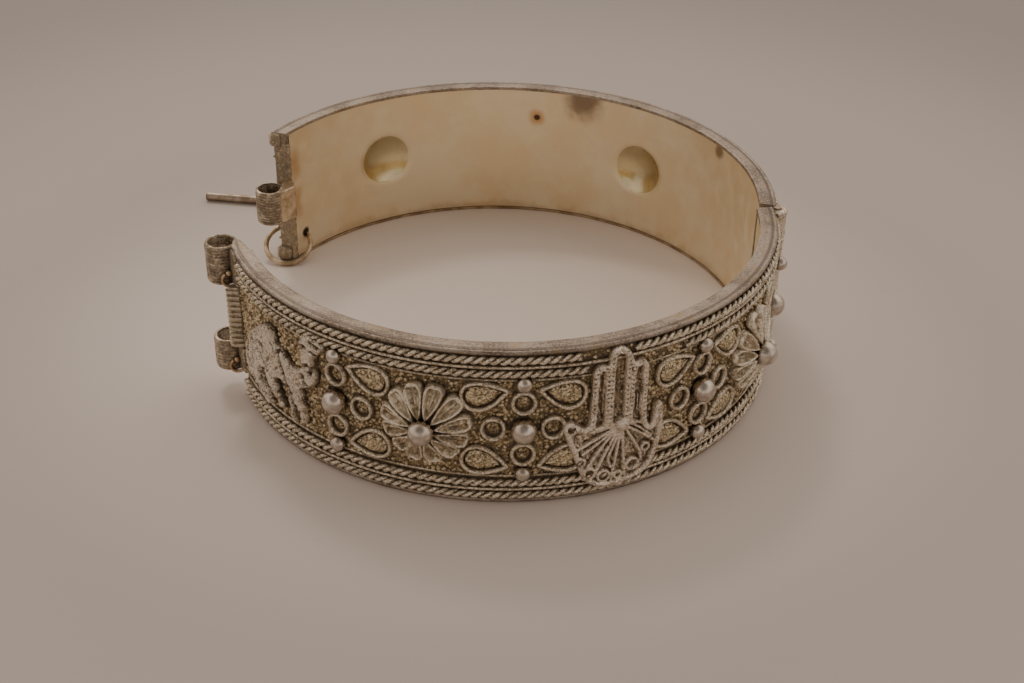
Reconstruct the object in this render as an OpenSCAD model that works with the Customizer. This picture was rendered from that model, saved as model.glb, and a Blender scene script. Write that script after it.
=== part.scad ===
// Hinged cuff bracelet in two halves: a thin smooth liner inside each half, a silver case with
// soldered ropes, rosettes, drops, rings and beads outside, a hinge at one end and rolled clasp
// knuckles at the other, with a loose clasp pin on a safety chain.
// The floor is z = 0, the wrist axis is the z axis, the hinge lies on the +x side.

/* [Band] */
// Height of the band
band_h = 18; // [17.6:0.1:18.6]
// Distance between the hinge axis and the clasp axis
axis_span = 62; // [61.8:0.1:62.4]
// Angle by which the front half stands open at rest
open_deg = 24; // [0:1:60]
// Inner radius of the back half
back_r = 29.7; // [29.5:0.1:29.8]
// Inner radius of the front half
front_r = 28.6; // [28.4:0.1:28.7]
// How far each arc centre lies beyond the line between the two axes
arc_drop = 3.9; // [3.8:0.1:4.1]
// Thickness of the wall under the ornament
wall = 1.6; // [1.5:0.1:1.8]
// Thickness of the flat rims at the top and the bottom
rim_t = 0.4; // [0.3:0.1:0.6]
// Thickness of the liner sheet
liner_t = 0.5; // [0.3:0.1:0.6]

/* [Ropes] */
// Radius of a rope
rope_r = 0.4; // [0.3:0.05:0.4]
// Height of the outer ropes from the band's edges
rope_out = 1.2; // [1.15:0.05:1.25]
// Height of the plain wires from the band's edges
wire_z = 1.95; // [1.9:0.01:2]
// Height of the inner ropes from the band's edges
rope_in = 2.7; // [2.65:0.05:2.75]
// Radius of the round wire along each edge
edge_r = 0.32; // [0.26:0.02:0.34]

/* [Ornament] */
// Radius of the large ball in a group and on a rosette
ball_r = 1.25; // [1:0.05:1.35]
// Radius of the small beads
bead_r = 0.75; // [0.6:0.05:0.85]
// Outer radius of the little rings
ring_r = 1.2; // [1.1:0.05:1.25]
// Length of a drop
drop_l = 5; // [4.4:0.1:5.2]
// Width of a drop
drop_w = 3.4; // [3:0.1:3.6]
// Height of the drops and rings above the wall
relief = 0.65; // [0.5:0.05:0.8]
// Height of the hand and the camel above the wall
figure_h = 0.95; // [0.75:0.05:1.1]
// Radius of the round dimple behind a rosette
dimple_r = 3.4; // [3.2:0.1:3.5]
// Depth of the dimple
dimple_d = 1; // [0.9:0.1:1.1]

/* [Hinge] */
// Radius of the hinge barrel
hinge_r = 1.2; // [1.1:0.05:1.3]
// Radius of the hinge pin
hinge_pin_r = 0.45; // [0.4:0.05:0.5]
// Number of hinge knuckles
hinge_n = 5; // [3:2:7]
// Gap between neighbouring hinge knuckles
hinge_gap = 0.2; // [0.15:0.05:0.3]

/* [Clasp] */
// Outer radius of a clasp knuckle
clasp_r = 1.8; // [1.7:0.05:1.9]
// Radius of the hole in a clasp knuckle
clasp_bore_r = 1.35; // [1.2:0.05:1.4]
// Distance from the line between the axes to the end face of a half
clasp_cut = 2.6; // [2.5:0.1:2.8]
// Bottom and top of the middle knuckle
mid_z = [7.2, 11.6];
// Bottom and top of the upper knuckle
top_z = [13.4, 17.9];
// Bottom and top of the lower knuckle
low_z = [2.5, 6.3];

/* [Safety chain and pin] */
// Radius of the clasp pin
pin_r = 0.55; // [0.45:0.05:0.55]
// Length of the clasp pin without its eye
pin_l = 19; // [18.9:0.05:19.05]
// Radius of the pin's eye at the middle of its wire
eye_r = 0.95; // [0.94:0.01:0.96]
// Wire radius of the pin's eye
eye_wire_r = 0.3; // [0.26:0.02:0.3]
// Radius of the safety ring at the middle of its wire
safety_r = 2.85; // [2.84:0.01:2.86]
// Wire radius of the safety ring
safety_wire_r = 0.32; // [0.26:0.02:0.34]
// Radius of a chain link at the middle of its wire
link_r = 1.05; // [1.04:0.01:1.06]
// Wire radius of a chain link
link_wire_r = 0.2; // [0.16:0.01:0.21]

/* [Hidden] */
$fn = 96;

// The hinge axis in the bracelet's own frame, and the arc centres between the two axes.
hinge_x = 31.3;
back_shift = -0.5;
front_shift = 0.2;
hinge_cut = 0.1;
seat = 0.05;
rim_in = 0.1;
liner_end = 0.7;
field_z = band_h / 2 + 0.1;
dome_h = 1.3;
dimple_ball = (dimple_r * dimple_r + dimple_d * dimple_d) / (2 * dimple_d);
dimple_lift = rim_in + dimple_d - dimple_ball - wall;
hinge_z0 = 0.3;
hinge_step = (band_h - 0.2 - hinge_z0) / hinge_n;

// The chain runs along the outside of the back half, from the safety ring down to the floor and on
// to the pin's eye: angle and radius about the back arc's centre, and height, of its two ends.
link_n = 9;
chain_a = [150.4, 131.5];
chain_r = [33.25, 35.05];
chain_z = 1.02;
chain_drop = 2.2;
chain_drop_links = 4.5;
chain_last_z = 1.12;
chain_last_roll = 54;
link_roll = 45;
arc_x = hinge_x + (back_shift - axis_span / 2) * cos(open_deg / 2) - arc_drop * sin(open_deg / 2);
arc_y = -(back_shift - axis_span / 2) * sin(open_deg / 2) - arc_drop * cos(open_deg / 2);

// The pin's tip on the floor, the way it points and how far its eye is bent up.
pin_tip = [-42.46, 31.95, 0.6];
pin_turn = -5.5;
eye_pitch = 39;

// Angles round each arc from the hinge to the middle of each group of ornament.
back_groups = [50, 84.1, 118.2];
back_columns = [16, 33.2, 101.2, 151.5];
back_rosettes = [67.1, 135.2];
front_groups = [57.5, 95.1];
front_columns = [20, 131.9];
front_rosettes = [39, 113.3];
hand_angle = 77.3;
camel_angle = 148.4;

// Places of a group's pieces, along the band and up from its middle.
ring_up = 3.05;
bead_up = 5.3;
ring_out = 2.95;
drop_out = 3.75;
drop_up = 3.7;
drop_turn = 18;

// Outline of the open hand as it is seen, from the middle of the hand.
hand_outline = [
    [-5.6, -0.1], [-5.4, 0.5], [-4.7, 0.8], [-4.1, 0.2], [-2.8, -0.5], [-2.8, 5.8], [-2.5, 6.6],
    [-1.8, 7], [-1.2, 6.6], [-1.1, 7.9], [-0.8, 8.4], [0.1, 8.6], [0.8, 8.2], [1.2, 7.4],
    [1.5, 6.4], [2.4, 6.8], [3, 6.1], [3.1, 4.8], [3.1, -0.8], [3.9, -1.8], [4.1, -0.3],
    [4.3, 0.9], [5, 0.9], [5.1, 0], [5.2, -1.9], [5, -3.7], [4.5, -5.8], [3.4, -7.2], [1.7, -7.7],
    [-0.3, -7.9], [-1.9, -7.7], [-3.1, -6.9], [-3.8, -5.6], [-4.5, -3.4], [-5.2, -1.4]
];

// Outline of the camel as it is seen, facing the hinge, from the middle of the camel.
camel_outline = [
    [7.7, 5.8], [7.3, 6.3], [6.4, 6.3], [5.9, 6.7], [4.7, 6.5], [4.1, 5.7], [4.5, 5.4], [4.4, 2.5],
    [3.9, 1.7], [2.9, 1.5], [2.1, 2], [1.4, 2.7], [0.5, 2.9], [-0.3, 4.7], [-1.5, 4.8],
    [-3.4, 3.6], [-5.2, 2], [-6.4, 0], [-6.9, -2], [-6.2, -3.2], [-4.5, -4.1], [-2.9, -4.7],
    [-1.7, -5.3], [-1, -4.7], [-1.9, -3.8], [-3, -2.6], [-3.5, -1.4], [-2.6, -1], [-1.7, -2.1],
    [-0.4, -3.4], [0.5, -4.6], [1.3, -4], [0.4, -2.7], [-0.8, -1.4], [0.8, -0.7], [2, -0.9],
    [2.3, -2.6], [2.4, -5.1], [3.1, -5], [3.2, -2.3], [3.7, -3.8], [4, -4.8], [4.7, -4.4],
    [4.1, -1.2], [4.1, -0.3], [5.7, 0.5], [6.3, 1.2], [6.5, 2.2], [5.9, 2.9], [6.3, 4.4], [7.1, 5]
];

// The back half's own x axis runs from the clasp axis to the hinge axis.
module stand_back() {
    translate([hinge_x, 0, 0])
        rotate([0, 0, -open_deg / 2])
            translate([-axis_span / 2, 0, 0])
                children();
}

module stand_front() {
    translate([hinge_x, 0, 0])
        rotate([0, 0, open_deg / 2])
            translate([-axis_span / 2, 0, 0])
                mirror([0, 1, 0])
                    children();
}

// Turns a flat section, drawn as radius and height, round the arc's centre.
module sweep(shift) {
    translate([shift, -arc_drop, 0])
        rotate([0, 0, -4])
            rotate_extrude(angle = 188)
                children();
}

// A piece of wall from radius r0 to r1 and from height z0 to z1.
module shell(shift, r0, r1, z0, z1) {
    sweep(shift)
        translate([r0, z0])
            square([r1 - r0, z1 - z0]);
}

// The side of the line between the axes on which a half lies, drawn in by m at both ends.
module half_space(m) {
    translate([0, 0, -2])
        linear_extrude(band_h + 4)
            polygon([[-50, clasp_cut + m], [0, clasp_cut + m], [0, hinge_cut + m],
                [50, hinge_cut + m], [50, 50], [-50, 50]]);
}

// Stands a piece on the wall: z points away from the wrist, y upwards, x away from the hinge.
module on_wall(shift, ri, a, s, z, lift) {
    translate([shift, -arc_drop, z])
        rotate([0, 0, a + s / (ri + wall) * 180 / PI])
            translate([ri + wall + lift, 0, 0])
                rotate([90, 0, 90])
                    children();
}

// Teardrop outline with its tip on +x.
module drop_shape(l, w) {
    polygon([for (t = [0 : 30 : 330]) [l / 2 * cos(t), w / 2 * sin(t) * pow(sin(t / 2), 1.1)]]);
}

module drop() {
    difference() {
        translate([0, 0, -0.3])
            linear_extrude(relief + 0.3)
                drop_shape(drop_l, drop_w);
        translate([0, 0, relief - 0.3])
            linear_extrude(1)
                drop_shape(drop_l - 1.1, drop_w - 0.9);
    }
}

module little_ring() {
    difference() {
        translate([0, 0, -0.3])
            cylinder(r = ring_r, h = relief + 0.3);
        translate([0, 0, relief - 0.35])
            cylinder(r = ring_r - 0.4, h = 1);
    }
}

// A ball with a ring above and below it and a bead at each end.
module column(shift, ri, a) {
    on_wall(shift, ri, a, 0, field_z, 0.75)
        sphere(r = ball_r);
    for (up = [-1, 1]) {
        on_wall(shift, ri, a, 0, field_z + up * ring_up, 0)
            little_ring();
        on_wall(shift, ri, a, 0, field_z + up * bead_up, 0.4)
            sphere(r = bead_r);
    }
}

// Two drops and a ring beside a column, on the side away from the hinge for side = 1.
module wing(shift, ri, a, side) {
    for (up = [-1, 1])
        on_wall(shift, ri, a, side * drop_out, field_z + up * drop_up, 0)
            rotate([0, 0, side > 0 ? 180 - up * drop_turn : up * drop_turn])
                drop();
    on_wall(shift, ri, a, side * ring_out, field_z, 0)
        little_ring();
}

// Twelve petals round a ball, on the outside of a dimple.
module rosette(shift, ri, a) {
    dome_r = wall + dome_h - rim_in - dimple_d + dimple_ball;
    intersection() {
        on_wall(shift, ri, a, 0, field_z, dimple_lift)
            sphere(r = dome_r);
        shell(shift, ri + wall - 0.3, ri + wall + 2, 2, band_h - 2);
    }
    on_wall(shift, ri, a, 0, field_z, dome_h - 0.1)
        for (k = [0 : 11])
            rotate([0, 0, k * 30 + 15])
                translate([1.1, 0, 0])
                    rotate([0, 20, 0])
                        translate([-0.1, 0, -0.4])
                            linear_extrude(0.8)
                                translate([1.7, 0])
                                    rotate(180)
                                        drop_shape(3.4, 1.45);
    on_wall(shift, ri, a, 0, field_z, dome_h + 0.4)
        sphere(r = ball_r);
}

// The ball-shaped hollow behind a rosette.
module hollow(shift, ri, a, r) {
    on_wall(shift, ri, a, 0, field_z, dimple_lift)
        sphere(r = r);
}

// A flat cut-out figure bent round the wall.
module figure(shift, ri, a, outline) {
    intersection() {
        on_wall(shift, ri, a, 0, band_h / 2, -3)
            linear_extrude(7)
                mirror([1, 0])
                    polygon(outline);
        shell(shift, ri + wall - 0.2, ri + wall + figure_h, 0.3, band_h - 0.3);
    }
}

// Section of a wall with its edge wires, ropes and plain wires.
module band_section(ri) {
    translate([ri, 0])
        square([wall, band_h]);
    for (z = [0.36, band_h - 0.36])
        translate([ri + wall + 0.24, z])
            circle(r = edge_r);
    for (z = [rope_out, rope_in, band_h - rope_in, band_h - rope_out])
        translate([ri + wall + 0.28, z])
            circle(r = rope_r);
    for (z = [wire_z, band_h - wire_z])
        translate([ri + wall + 0.08, z])
            circle(r = 0.18);
}

module band(shift, ri) {
    intersection() {
        sweep(shift)
            band_section(ri);
        half_space(0);
    }
}

// The room in a case for its liner.
module pocket(shift, ri) {
    intersection() {
        shell(shift, ri - 2, ri + rim_in + liner_t + seat, rim_t, band_h - rim_t);
        half_space(liner_end - seat);
    }
}

// A sheet with a dimple at each of the angles.
module liner(shift, ri, angles) {
    difference() {
        union() {
            intersection() {
                shell(shift, ri + rim_in, ri + rim_in + liner_t, rim_t + seat,
                    band_h - rim_t - seat);
                half_space(liner_end);
            }
            for (a = angles)
                intersection() {
                    hollow(shift, ri, a, dimple_ball + liner_t);
                    shell(shift, ri + rim_in + liner_t / 2, ri + 4, 2, band_h - 2);
                }
        }
        for (a = angles)
            hollow(shift, ri, a, dimple_ball);
    }
}

// A clasp knuckle with the tab that joins it to the end of its half.
module clasp_knuckle(shift, ri, z) {
    end_x = shift - sqrt(pow(ri + 0.4, 2) - pow(arc_drop + clasp_cut, 2));
    translate([-axis_span / 2, 0, z[0]])
        cylinder(r = clasp_r, h = z[1] - z[0]);
    translate([-axis_span / 2 + 0.3, 0, z[0] + 0.1])
        cube([end_x + axis_span / 2 - 0.3, clasp_cut + 0.5, z[1] - z[0] - 0.2]);
}

module clasp_bore() {
    translate([-axis_span / 2, 0, -1])
        cylinder(r = clasp_bore_r, h = band_h + 2);
}

// Every second hinge knuckle from the given one, with its radius, longer by g at both ends.
module hinge_knuckles(first, r, g) {
    for (k = [first : 2 : hinge_n - 1])
        translate([axis_span / 2, 0, hinge_z0 + k * hinge_step + hinge_gap / 2 - g])
            cylinder(r = r, h = hinge_step - hinge_gap + 2 * g);
}

module hinge_bore() {
    translate([axis_span / 2, 0, -1])
        cylinder(r = hinge_pin_r + seat, h = band_h + 2);
}

// A round wire bent into a ring in the xy plane.
module wire_ring(r, wire) {
    rotate_extrude()
        translate([r, 0])
            circle(r = wire);
}

// Where the safety ring hangs, in its hole near the end of the back half.
module ring_place() {
    translate([-28.29, 16.51, 1.83])
        rotate([31, 0, 0])
            children();
}

module back_case() {
    color("silver")
        difference() {
            stand_back()
                difference() {
                    union() {
                        difference() {
                            band(back_shift, back_r);
                            hinge_knuckles(1, hinge_r + 0.2, hinge_gap - seat);
                        }
                        for (a = back_rosettes)
                            rosette(back_shift, back_r, a);
                        for (a = concat(back_groups, back_columns))
                            column(back_shift, back_r, a);
                        for (a = back_groups, side = [-1, 1])
                            wing(back_shift, back_r, a, side);
                        wing(back_shift, back_r, back_columns[0], 1);
                        wing(back_shift, back_r, back_columns[3], -1);
                        clasp_knuckle(back_shift, back_r, mid_z);
                        hinge_knuckles(0, hinge_r, 0);
                    }
                    pocket(back_shift, back_r);
                    for (a = back_rosettes)
                        hollow(back_shift, back_r, a, dimple_ball + liner_t + seat);
                    clasp_bore();
                    hinge_bore();
                }
            ring_place()
                wire_ring(safety_r, safety_wire_r + 0.2);
        }
}

module back_liner() {
    color("tan")
        difference() {
            stand_back()
                liner(back_shift, back_r, back_rosettes);
            ring_place()
                wire_ring(safety_r, safety_wire_r + 0.2);
        }
}

module front_case() {
    color("silver")
        stand_front()
            difference() {
                union() {
                    difference() {
                        band(front_shift, front_r);
                        hinge_knuckles(0, hinge_r + 0.2, hinge_gap - seat);
                    }
                    for (a = front_rosettes)
                        rosette(front_shift, front_r, a);
                    for (a = concat(front_groups, front_columns))
                        column(front_shift, front_r, a);
                    for (a = front_groups, side = [-1, 1])
                        wing(front_shift, front_r, a, side);
                    wing(front_shift, front_r, front_columns[0], 1);
                    wing(front_shift, front_r, front_columns[1], -1);
                    figure(front_shift, front_r, hand_angle, hand_outline);
                    figure(front_shift, front_r, camel_angle, camel_outline);
                    clasp_knuckle(front_shift, front_r, top_z);
                    clasp_knuckle(front_shift, front_r, low_z);
                    hinge_knuckles(1, hinge_r, 0);
                }
                pocket(front_shift, front_r);
                for (a = front_rosettes)
                    hollow(front_shift, front_r, a, dimple_ball + liner_t + seat);
                clasp_bore();
                hinge_bore();
            }
}

module front_liner() {
    color("tan")
        stand_front()
            liner(front_shift, front_r, front_rosettes);
}

module hinge_pin() {
    color("gray")
        translate([hinge_x, 0, 0.1])
            cylinder(r = hinge_pin_r, h = band_h - 0.2);
}

module safety_ring() {
    color("silver")
        ring_place()
            wire_ring(safety_r, safety_wire_r);
}

// Middle of the chain's link k.
function link_at(k) =
    let (s = k / (link_n - 1),
        r = chain_r[0] + (chain_r[1] - chain_r[0]) * s,
        a = chain_a[0] + (chain_a[1] - chain_a[0]) * s,
        fall = pow(max(0, 1 - k / chain_drop_links), 1.5))
    [arc_x + r * cos(a), arc_y + r * sin(a),
        k == link_n - 1 ? chain_last_z : chain_z + chain_drop * fall];

// A link lies along the chain, rolled to one side and the next one to the other.
module chain_link(k) {
    way = link_at(min(k + 1, link_n - 1)) - link_at(max(k - 1, 0));
    roll = k == link_n - 1 ? chain_last_roll : link_roll;
    translate(link_at(k))
        rotate([0, 0, atan2(way[1], way[0])])
            rotate([0, -asin(way[2] / norm(way)), 0])
                rotate([k % 2 == 0 ? roll : -roll, 0, 0])
                    wire_ring(link_r, link_wire_r);
}

module safety_chain() {
    color("silver")
        for (k = [0 : link_n - 1])
            chain_link(k);
}

module clasp_pin() {
    color("silver")
        translate(pin_tip)
            rotate([0, 0, pin_turn]) {
                rotate([0, 90, 0])
                    cylinder(r = pin_r, h = pin_l);
                translate([pin_l, 0, 0])
                    rotate([0, -eye_pitch, 0])
                        translate([eye_r - 0.1, 0, 0])
                            wire_ring(eye_r, eye_wire_r);
            }
}

back_liner();
back_case();
front_liner();
front_case();
hinge_pin();
safety_ring();
safety_chain();
clasp_pin();
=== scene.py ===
# %% [markdown]
# # A hinged silver cuff, piece by piece
# The cuff is two curved halves on a hinge. Each half is a plain wall, covered outside with
# ropes, rings, drops, rosettes and beads, and lined inside with a smooth gilt sheet. The CAD
# model is loaded as a fixed frame first, and every piece below lies where that frame says.

# %% Load the frame
import math

import bpy
import numpy as np
from mathutils import Matrix, Vector


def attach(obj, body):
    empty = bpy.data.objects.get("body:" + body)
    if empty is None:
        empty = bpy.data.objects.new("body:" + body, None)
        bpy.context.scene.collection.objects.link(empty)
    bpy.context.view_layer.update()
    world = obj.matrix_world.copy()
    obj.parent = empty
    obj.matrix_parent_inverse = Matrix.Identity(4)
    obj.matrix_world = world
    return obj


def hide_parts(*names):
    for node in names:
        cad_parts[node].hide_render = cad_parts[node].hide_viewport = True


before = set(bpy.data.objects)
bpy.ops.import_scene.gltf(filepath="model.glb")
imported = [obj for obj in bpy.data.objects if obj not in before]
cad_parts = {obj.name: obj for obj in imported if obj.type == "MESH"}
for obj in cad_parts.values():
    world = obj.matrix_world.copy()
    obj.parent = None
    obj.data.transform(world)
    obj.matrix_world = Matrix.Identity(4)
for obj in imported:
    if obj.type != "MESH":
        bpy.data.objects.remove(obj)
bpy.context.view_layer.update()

# %% [markdown]
# ## Sizes
# A maker thinks of this cuff as two flat strips that are bent into arcs after the ornament is
# laid out. The script does the same: a place on a half is given as the way along its wall, the
# height and the way out from the wall, all in millimetres, and is bent round the arc at the end.

# %% Sizes of the two halves
MM = 0.001
BAND = 18.0  # height of the band
HINGE_X = 31.3  # the hinge axis
SPAN = 62.0  # from the hinge axis to the clasp axis
DROP = 3.9  # how far an arc's centre lies beyond the line between the axes
WALL = 1.6  # thickness of a wall
HALF_OPEN = 12.0  # half of the angle between the halves, in degrees
FIELD = 9.1  # height of the middle of the ornament


class Half:
    """One half of the cuff: its arc, and the way its angles run."""

    def __init__(self, name, shift, inner, side):
        self.name = name
        self.side = side
        self.inner = inner
        self.outer = inner + WALL
        self.x, self.y = self.place(shift, -DROP)

    def place(self, x, y):
        """A place in the half's own drawing, in the part's frame."""
        turn = math.radians(-HALF_OPEN * self.side)
        x, y = x - SPAN / 2, y * self.side
        return (HINGE_X + math.cos(turn) * x - math.sin(turn) * y,
                math.sin(turn) * x + math.cos(turn) * y)

    def along(self, angle):
        """The way along the wall to an angle that is counted from the hinge, in degrees."""
        return self.side * math.radians(angle - HALF_OPEN) * self.outer

    def ends(self, radius, hinge_cut=0.1, clasp_cut=2.6):
        """The angles at which the half's flat end faces cut a circle of a given radius."""
        return (np.degrees(np.arcsin((DROP + hinge_cut) / radius)),
                180 - np.degrees(np.arcsin((DROP + clasp_cut) / radius)))

    def bend(self, along, height, out):
        """Bends flat places round the wall and gives them in metres."""
        angle = along / self.outer
        radius = self.outer + out
        x = self.x + radius * np.cos(angle)
        y = self.y + radius * np.sin(angle)
        return np.stack([x, y, height + 0 * x], -1) * MM


BACK = Half("back", -0.5, 29.7, 1)
FRONT = Half("front", 0.2, 28.6, -1)
HALVES = (BACK, FRONT)
for half in HALVES:
    print(half.name, "arc centre", round(half.x, 3), round(half.y, 3), "wall radius", half.outer)

# %% [markdown]
# ## Camera
# The camera stands a little above the cuff and looks down on it by 32 degrees. Its place was
# worked out from the arcs and heights that can be measured in the picture.

# %% Camera
def add_object(name, data):
    """Puts an object on the scene."""
    made = bpy.data.objects.new(name, data)
    bpy.context.scene.collection.objects.link(made)
    return made


def put_camera():
    """Stands the camera where the picture was taken from."""
    right = Vector((0.9988, 0.0462, 0.0161))
    up = Vector((-0.0381, 0.5280, 0.8484))
    back = right.cross(up)
    lens = bpy.data.cameras.new("picture_camera")
    lens.lens = 51.77
    lens.sensor_width = 36
    lens.sensor_fit = "HORIZONTAL"
    lens.clip_start = 0.005
    lens.clip_end = 5
    turned = Matrix((right, up, back)).transposed().to_4x4()
    turned.translation = Vector((7.0106, -150.6402, 92.5919)) * MM
    camera = add_object("picture_camera", lens)
    camera.matrix_world = turned
    bpy.context.scene.camera = camera
    print("camera looks down by", round(math.degrees(math.asin(back.z)), 1), "degrees")


put_camera()

# %% [markdown]
# ## A bench for nodes
# Materials and geometry trees are both made of nodes. `Value` wraps one socket, so that sums on
# sockets read as plain Python, and `Bench` adds any other node with its settings and inputs.

# %% Helpers for nodes
class Value:
    """A socket that can stand in a Python sum."""

    def __init__(self, bench, socket):
        self.bench = bench
        self.socket = socket

    def __add__(self, other):
        return self.bench.maths("ADD", self, other)

    def __sub__(self, other):
        return self.bench.maths("SUBTRACT", self, other)

    def __rsub__(self, other):
        return self.bench.maths("SUBTRACT", other, self)

    def __mul__(self, other):
        return self.bench.maths("MULTIPLY", self, other)

    def __truediv__(self, other):
        return self.bench.maths("DIVIDE", self, other)

    def __pow__(self, other):
        return self.bench.maths("POWER", self, other)

    __radd__ = __add__
    __rmul__ = __mul__


class Bench:
    """Puts nodes on one tree."""

    def __init__(self, tree, material=None):
        self.tree = tree
        self.material = material

    def fill(self, node, inputs):
        """Links or sets a node's inputs. A colour is given as three numbers."""
        for key, value in inputs.items():
            socket = node.inputs[key]
            if isinstance(value, (Value, list)):
                for one in value if isinstance(value, list) else [value]:
                    self.tree.links.new(one.socket, socket)
            else:
                socket.default_value = (*value, 1) if socket.type == "RGBA" else value

    def node(self, kind, settings=None, inputs=None, out=0):
        """Any node: its type, its settings, its inputs, and which output is wanted."""
        made = self.tree.nodes.new(kind)
        for name, value in (settings or {}).items():
            setattr(made, name, value)
        self.fill(made, inputs or {})
        if isinstance(out, tuple):
            return [Value(self, made.outputs[k]) for k in out]
        return Value(self, made.outputs[out])

    def geo(self, kind, **inputs):
        """A geometry node without settings. Size_X stands for its input Size X."""
        inputs = {name.replace("_", " "): value for name, value in inputs.items()}
        return self.node("GeometryNode" + kind, None, inputs)

    def maths(self, operation, *numbers):
        return self.node("ShaderNodeMath", {"operation": operation}, dict(enumerate(numbers)))

    def clip(self, value, low, high):
        """0 below low, 1 above high, and a smooth step between them."""
        settings = {"interpolation_type": "SMOOTHSTEP"}
        return self.node("ShaderNodeMapRange", settings, {0: value, 1: low, 2: high})

    def mix(self, factor, first, second):
        """Mixes two colours."""
        return self.node("ShaderNodeMix", {"data_type": "RGBA"},
                         {0: factor, 6: first, 7: second}, out=2)

    def measure(self, operation, *vectors):
        """A number from vectors, such as a length or a distance."""
        return self.node("ShaderNodeVectorMath", {"operation": operation},
                         dict(enumerate(vectors)), out=1)

    def scale(self, vector, factor):
        return self.node("ShaderNodeVectorMath", {"operation": "SCALE"}, {0: vector, 3: factor})

    def join(self, x, y, z):
        return self.node("ShaderNodeCombineXYZ", None, {0: x, 1: y, 2: z})

    def split(self, vector):
        return self.node("ShaderNodeSeparateXYZ", None, {0: vector}, out=(0, 1, 2))

    def noise(self, place, scale, detail=2.0, rough=0.5):
        return self.node("ShaderNodeTexNoise", None, {
            "Vector": place, "Scale": scale, "Detail": detail, "Roughness": rough})


def start_material(name):
    """A new material: its bench, and places on the piece in millimetres."""
    material = bpy.data.materials.new(name)
    material.use_nodes = True
    bench = Bench(material.node_tree, material)
    return bench, bench.scale(bench.node("ShaderNodeTexCoord", out=3), 1 / MM)


def finish(bench, tone, rough, metal, height=None, depth=0.0):
    """Feeds the shader, with a bump for a height in 0..1 and a depth in millimetres."""
    values = {"Base Color": tone, "Roughness": rough, "Metallic": metal}
    if height is not None:
        values["Normal"] = bench.node("ShaderNodeBump", None, {
            "Strength": 1.0, "Distance": depth * MM, "Height": height})
    bench.fill(bench.tree.nodes["Principled BSDF"], values)
    return bench.material


# %% [markdown]
# ## Floor and light
# The cuff lies on a pale, warm surface under soft light from all sides. The polished balls tell
# more: a small bright spot near the top of each comes from a lamp high behind, and the dark patch
# in the middle is whoever stands at the table and looks down.

# %% Floor and light
def grey(value):
    """A warm grey."""
    return (value, value * 0.885, value * 0.8)


def make_floor():
    """A wide, matte, slightly mottled table top, with a painted pool of light: bright near the cuff and
    darker away from it.
    """
    bench, place = start_material("table_top")
    cloud = bench.noise(place, 0.009, 3)
    speck = bench.node("ShaderNodeTexVoronoi", None, {"Vector": place, "Scale": 0.06})
    dust = 1 - bench.clip(speck, 0.02, 0.05)
    far = bench.measure("LENGTH", place)
    # Painted light: the floor's colour falls from bright near the cuff to dark far away, standing in for
    # how the light falls off.
    painted_light_falloff = bench.clip(far, 30, 62) * 0.6 + bench.clip(far, 70, 150) * 0.4
    tone = bench.mix(painted_light_falloff + (cloud - 0.5) * 0.1, grey(0.80), grey(0.37))
    tone = bench.mix(dust * 0.2, tone, grey(0.5))
    bpy.ops.mesh.primitive_plane_add(size=3)
    floor = bpy.context.object
    floor.name = "table"
    floor.data.materials.append(finish(bench, tone, 0.75, 0))


def light_room():
    """A bright soft tent with a dark patch where the onlooker stands, and one small lamp."""
    world = bpy.data.worlds.new("room")
    bpy.context.scene.world = world
    world.use_nodes = True
    bench = Bench(world.node_tree)
    way = bench.node("ShaderNodeTexCoord")
    height = bench.split(way)[2]
    onlooker = bench.measure("DOT_PRODUCT", way, (0.02, -0.5, 0.866))
    tone = bench.mix(bench.clip(height, 0.0, 0.85), (0.66, 0.57, 0.50), (1.0, 0.875, 0.775))
    tone = bench.mix(bench.clip(onlooker, 0.60, 0.94) * 0.8, tone, (0.05, 0.045, 0.04))
    bench.fill(world.node_tree.nodes["Background"], {"Color": tone, "Strength": 1.0})
    lamp = bpy.data.lights.new("back_lamp", "AREA")
    lamp.shape = "RECTANGLE"
    lamp.size = 0.16
    lamp.size_y = 0.12
    lamp.energy = 1.0
    lamp.color = (1, 0.91, 0.82)
    light = add_object("back_lamp", lamp)
    light.location = (-0.22, 0.5, 0.66)
    light.rotation_euler = (-light.location).to_track_quat("-Z", "Y").to_euler()


make_floor()
light_room()

# %% [markdown]
# ## Finishes
# Aged silver is bright only where hands and cloth can reach. Dark tarnish stays in the corners,
# with a warm gold-brown band between. Ambient Occlusion tells how deep a place lies in a corner,
# and the attribute `rise`, which every piece gets, tells how far it stands out from the wall.

# %% Finishes of the silver
def open_sky(bench, reach):
    """1 in the open and less in corners that are narrower than the reach, in millimetres."""
    return bench.node("ShaderNodeAmbientOcclusion", {"samples": 6}, {"Distance": reach * MM}, out=1)


def rise_here(bench):
    """How far a place stands out from the wall, in millimetres."""
    return bench.node("ShaderNodeAttribute", {"attribute_name": "rise"}, out=2)


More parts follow.
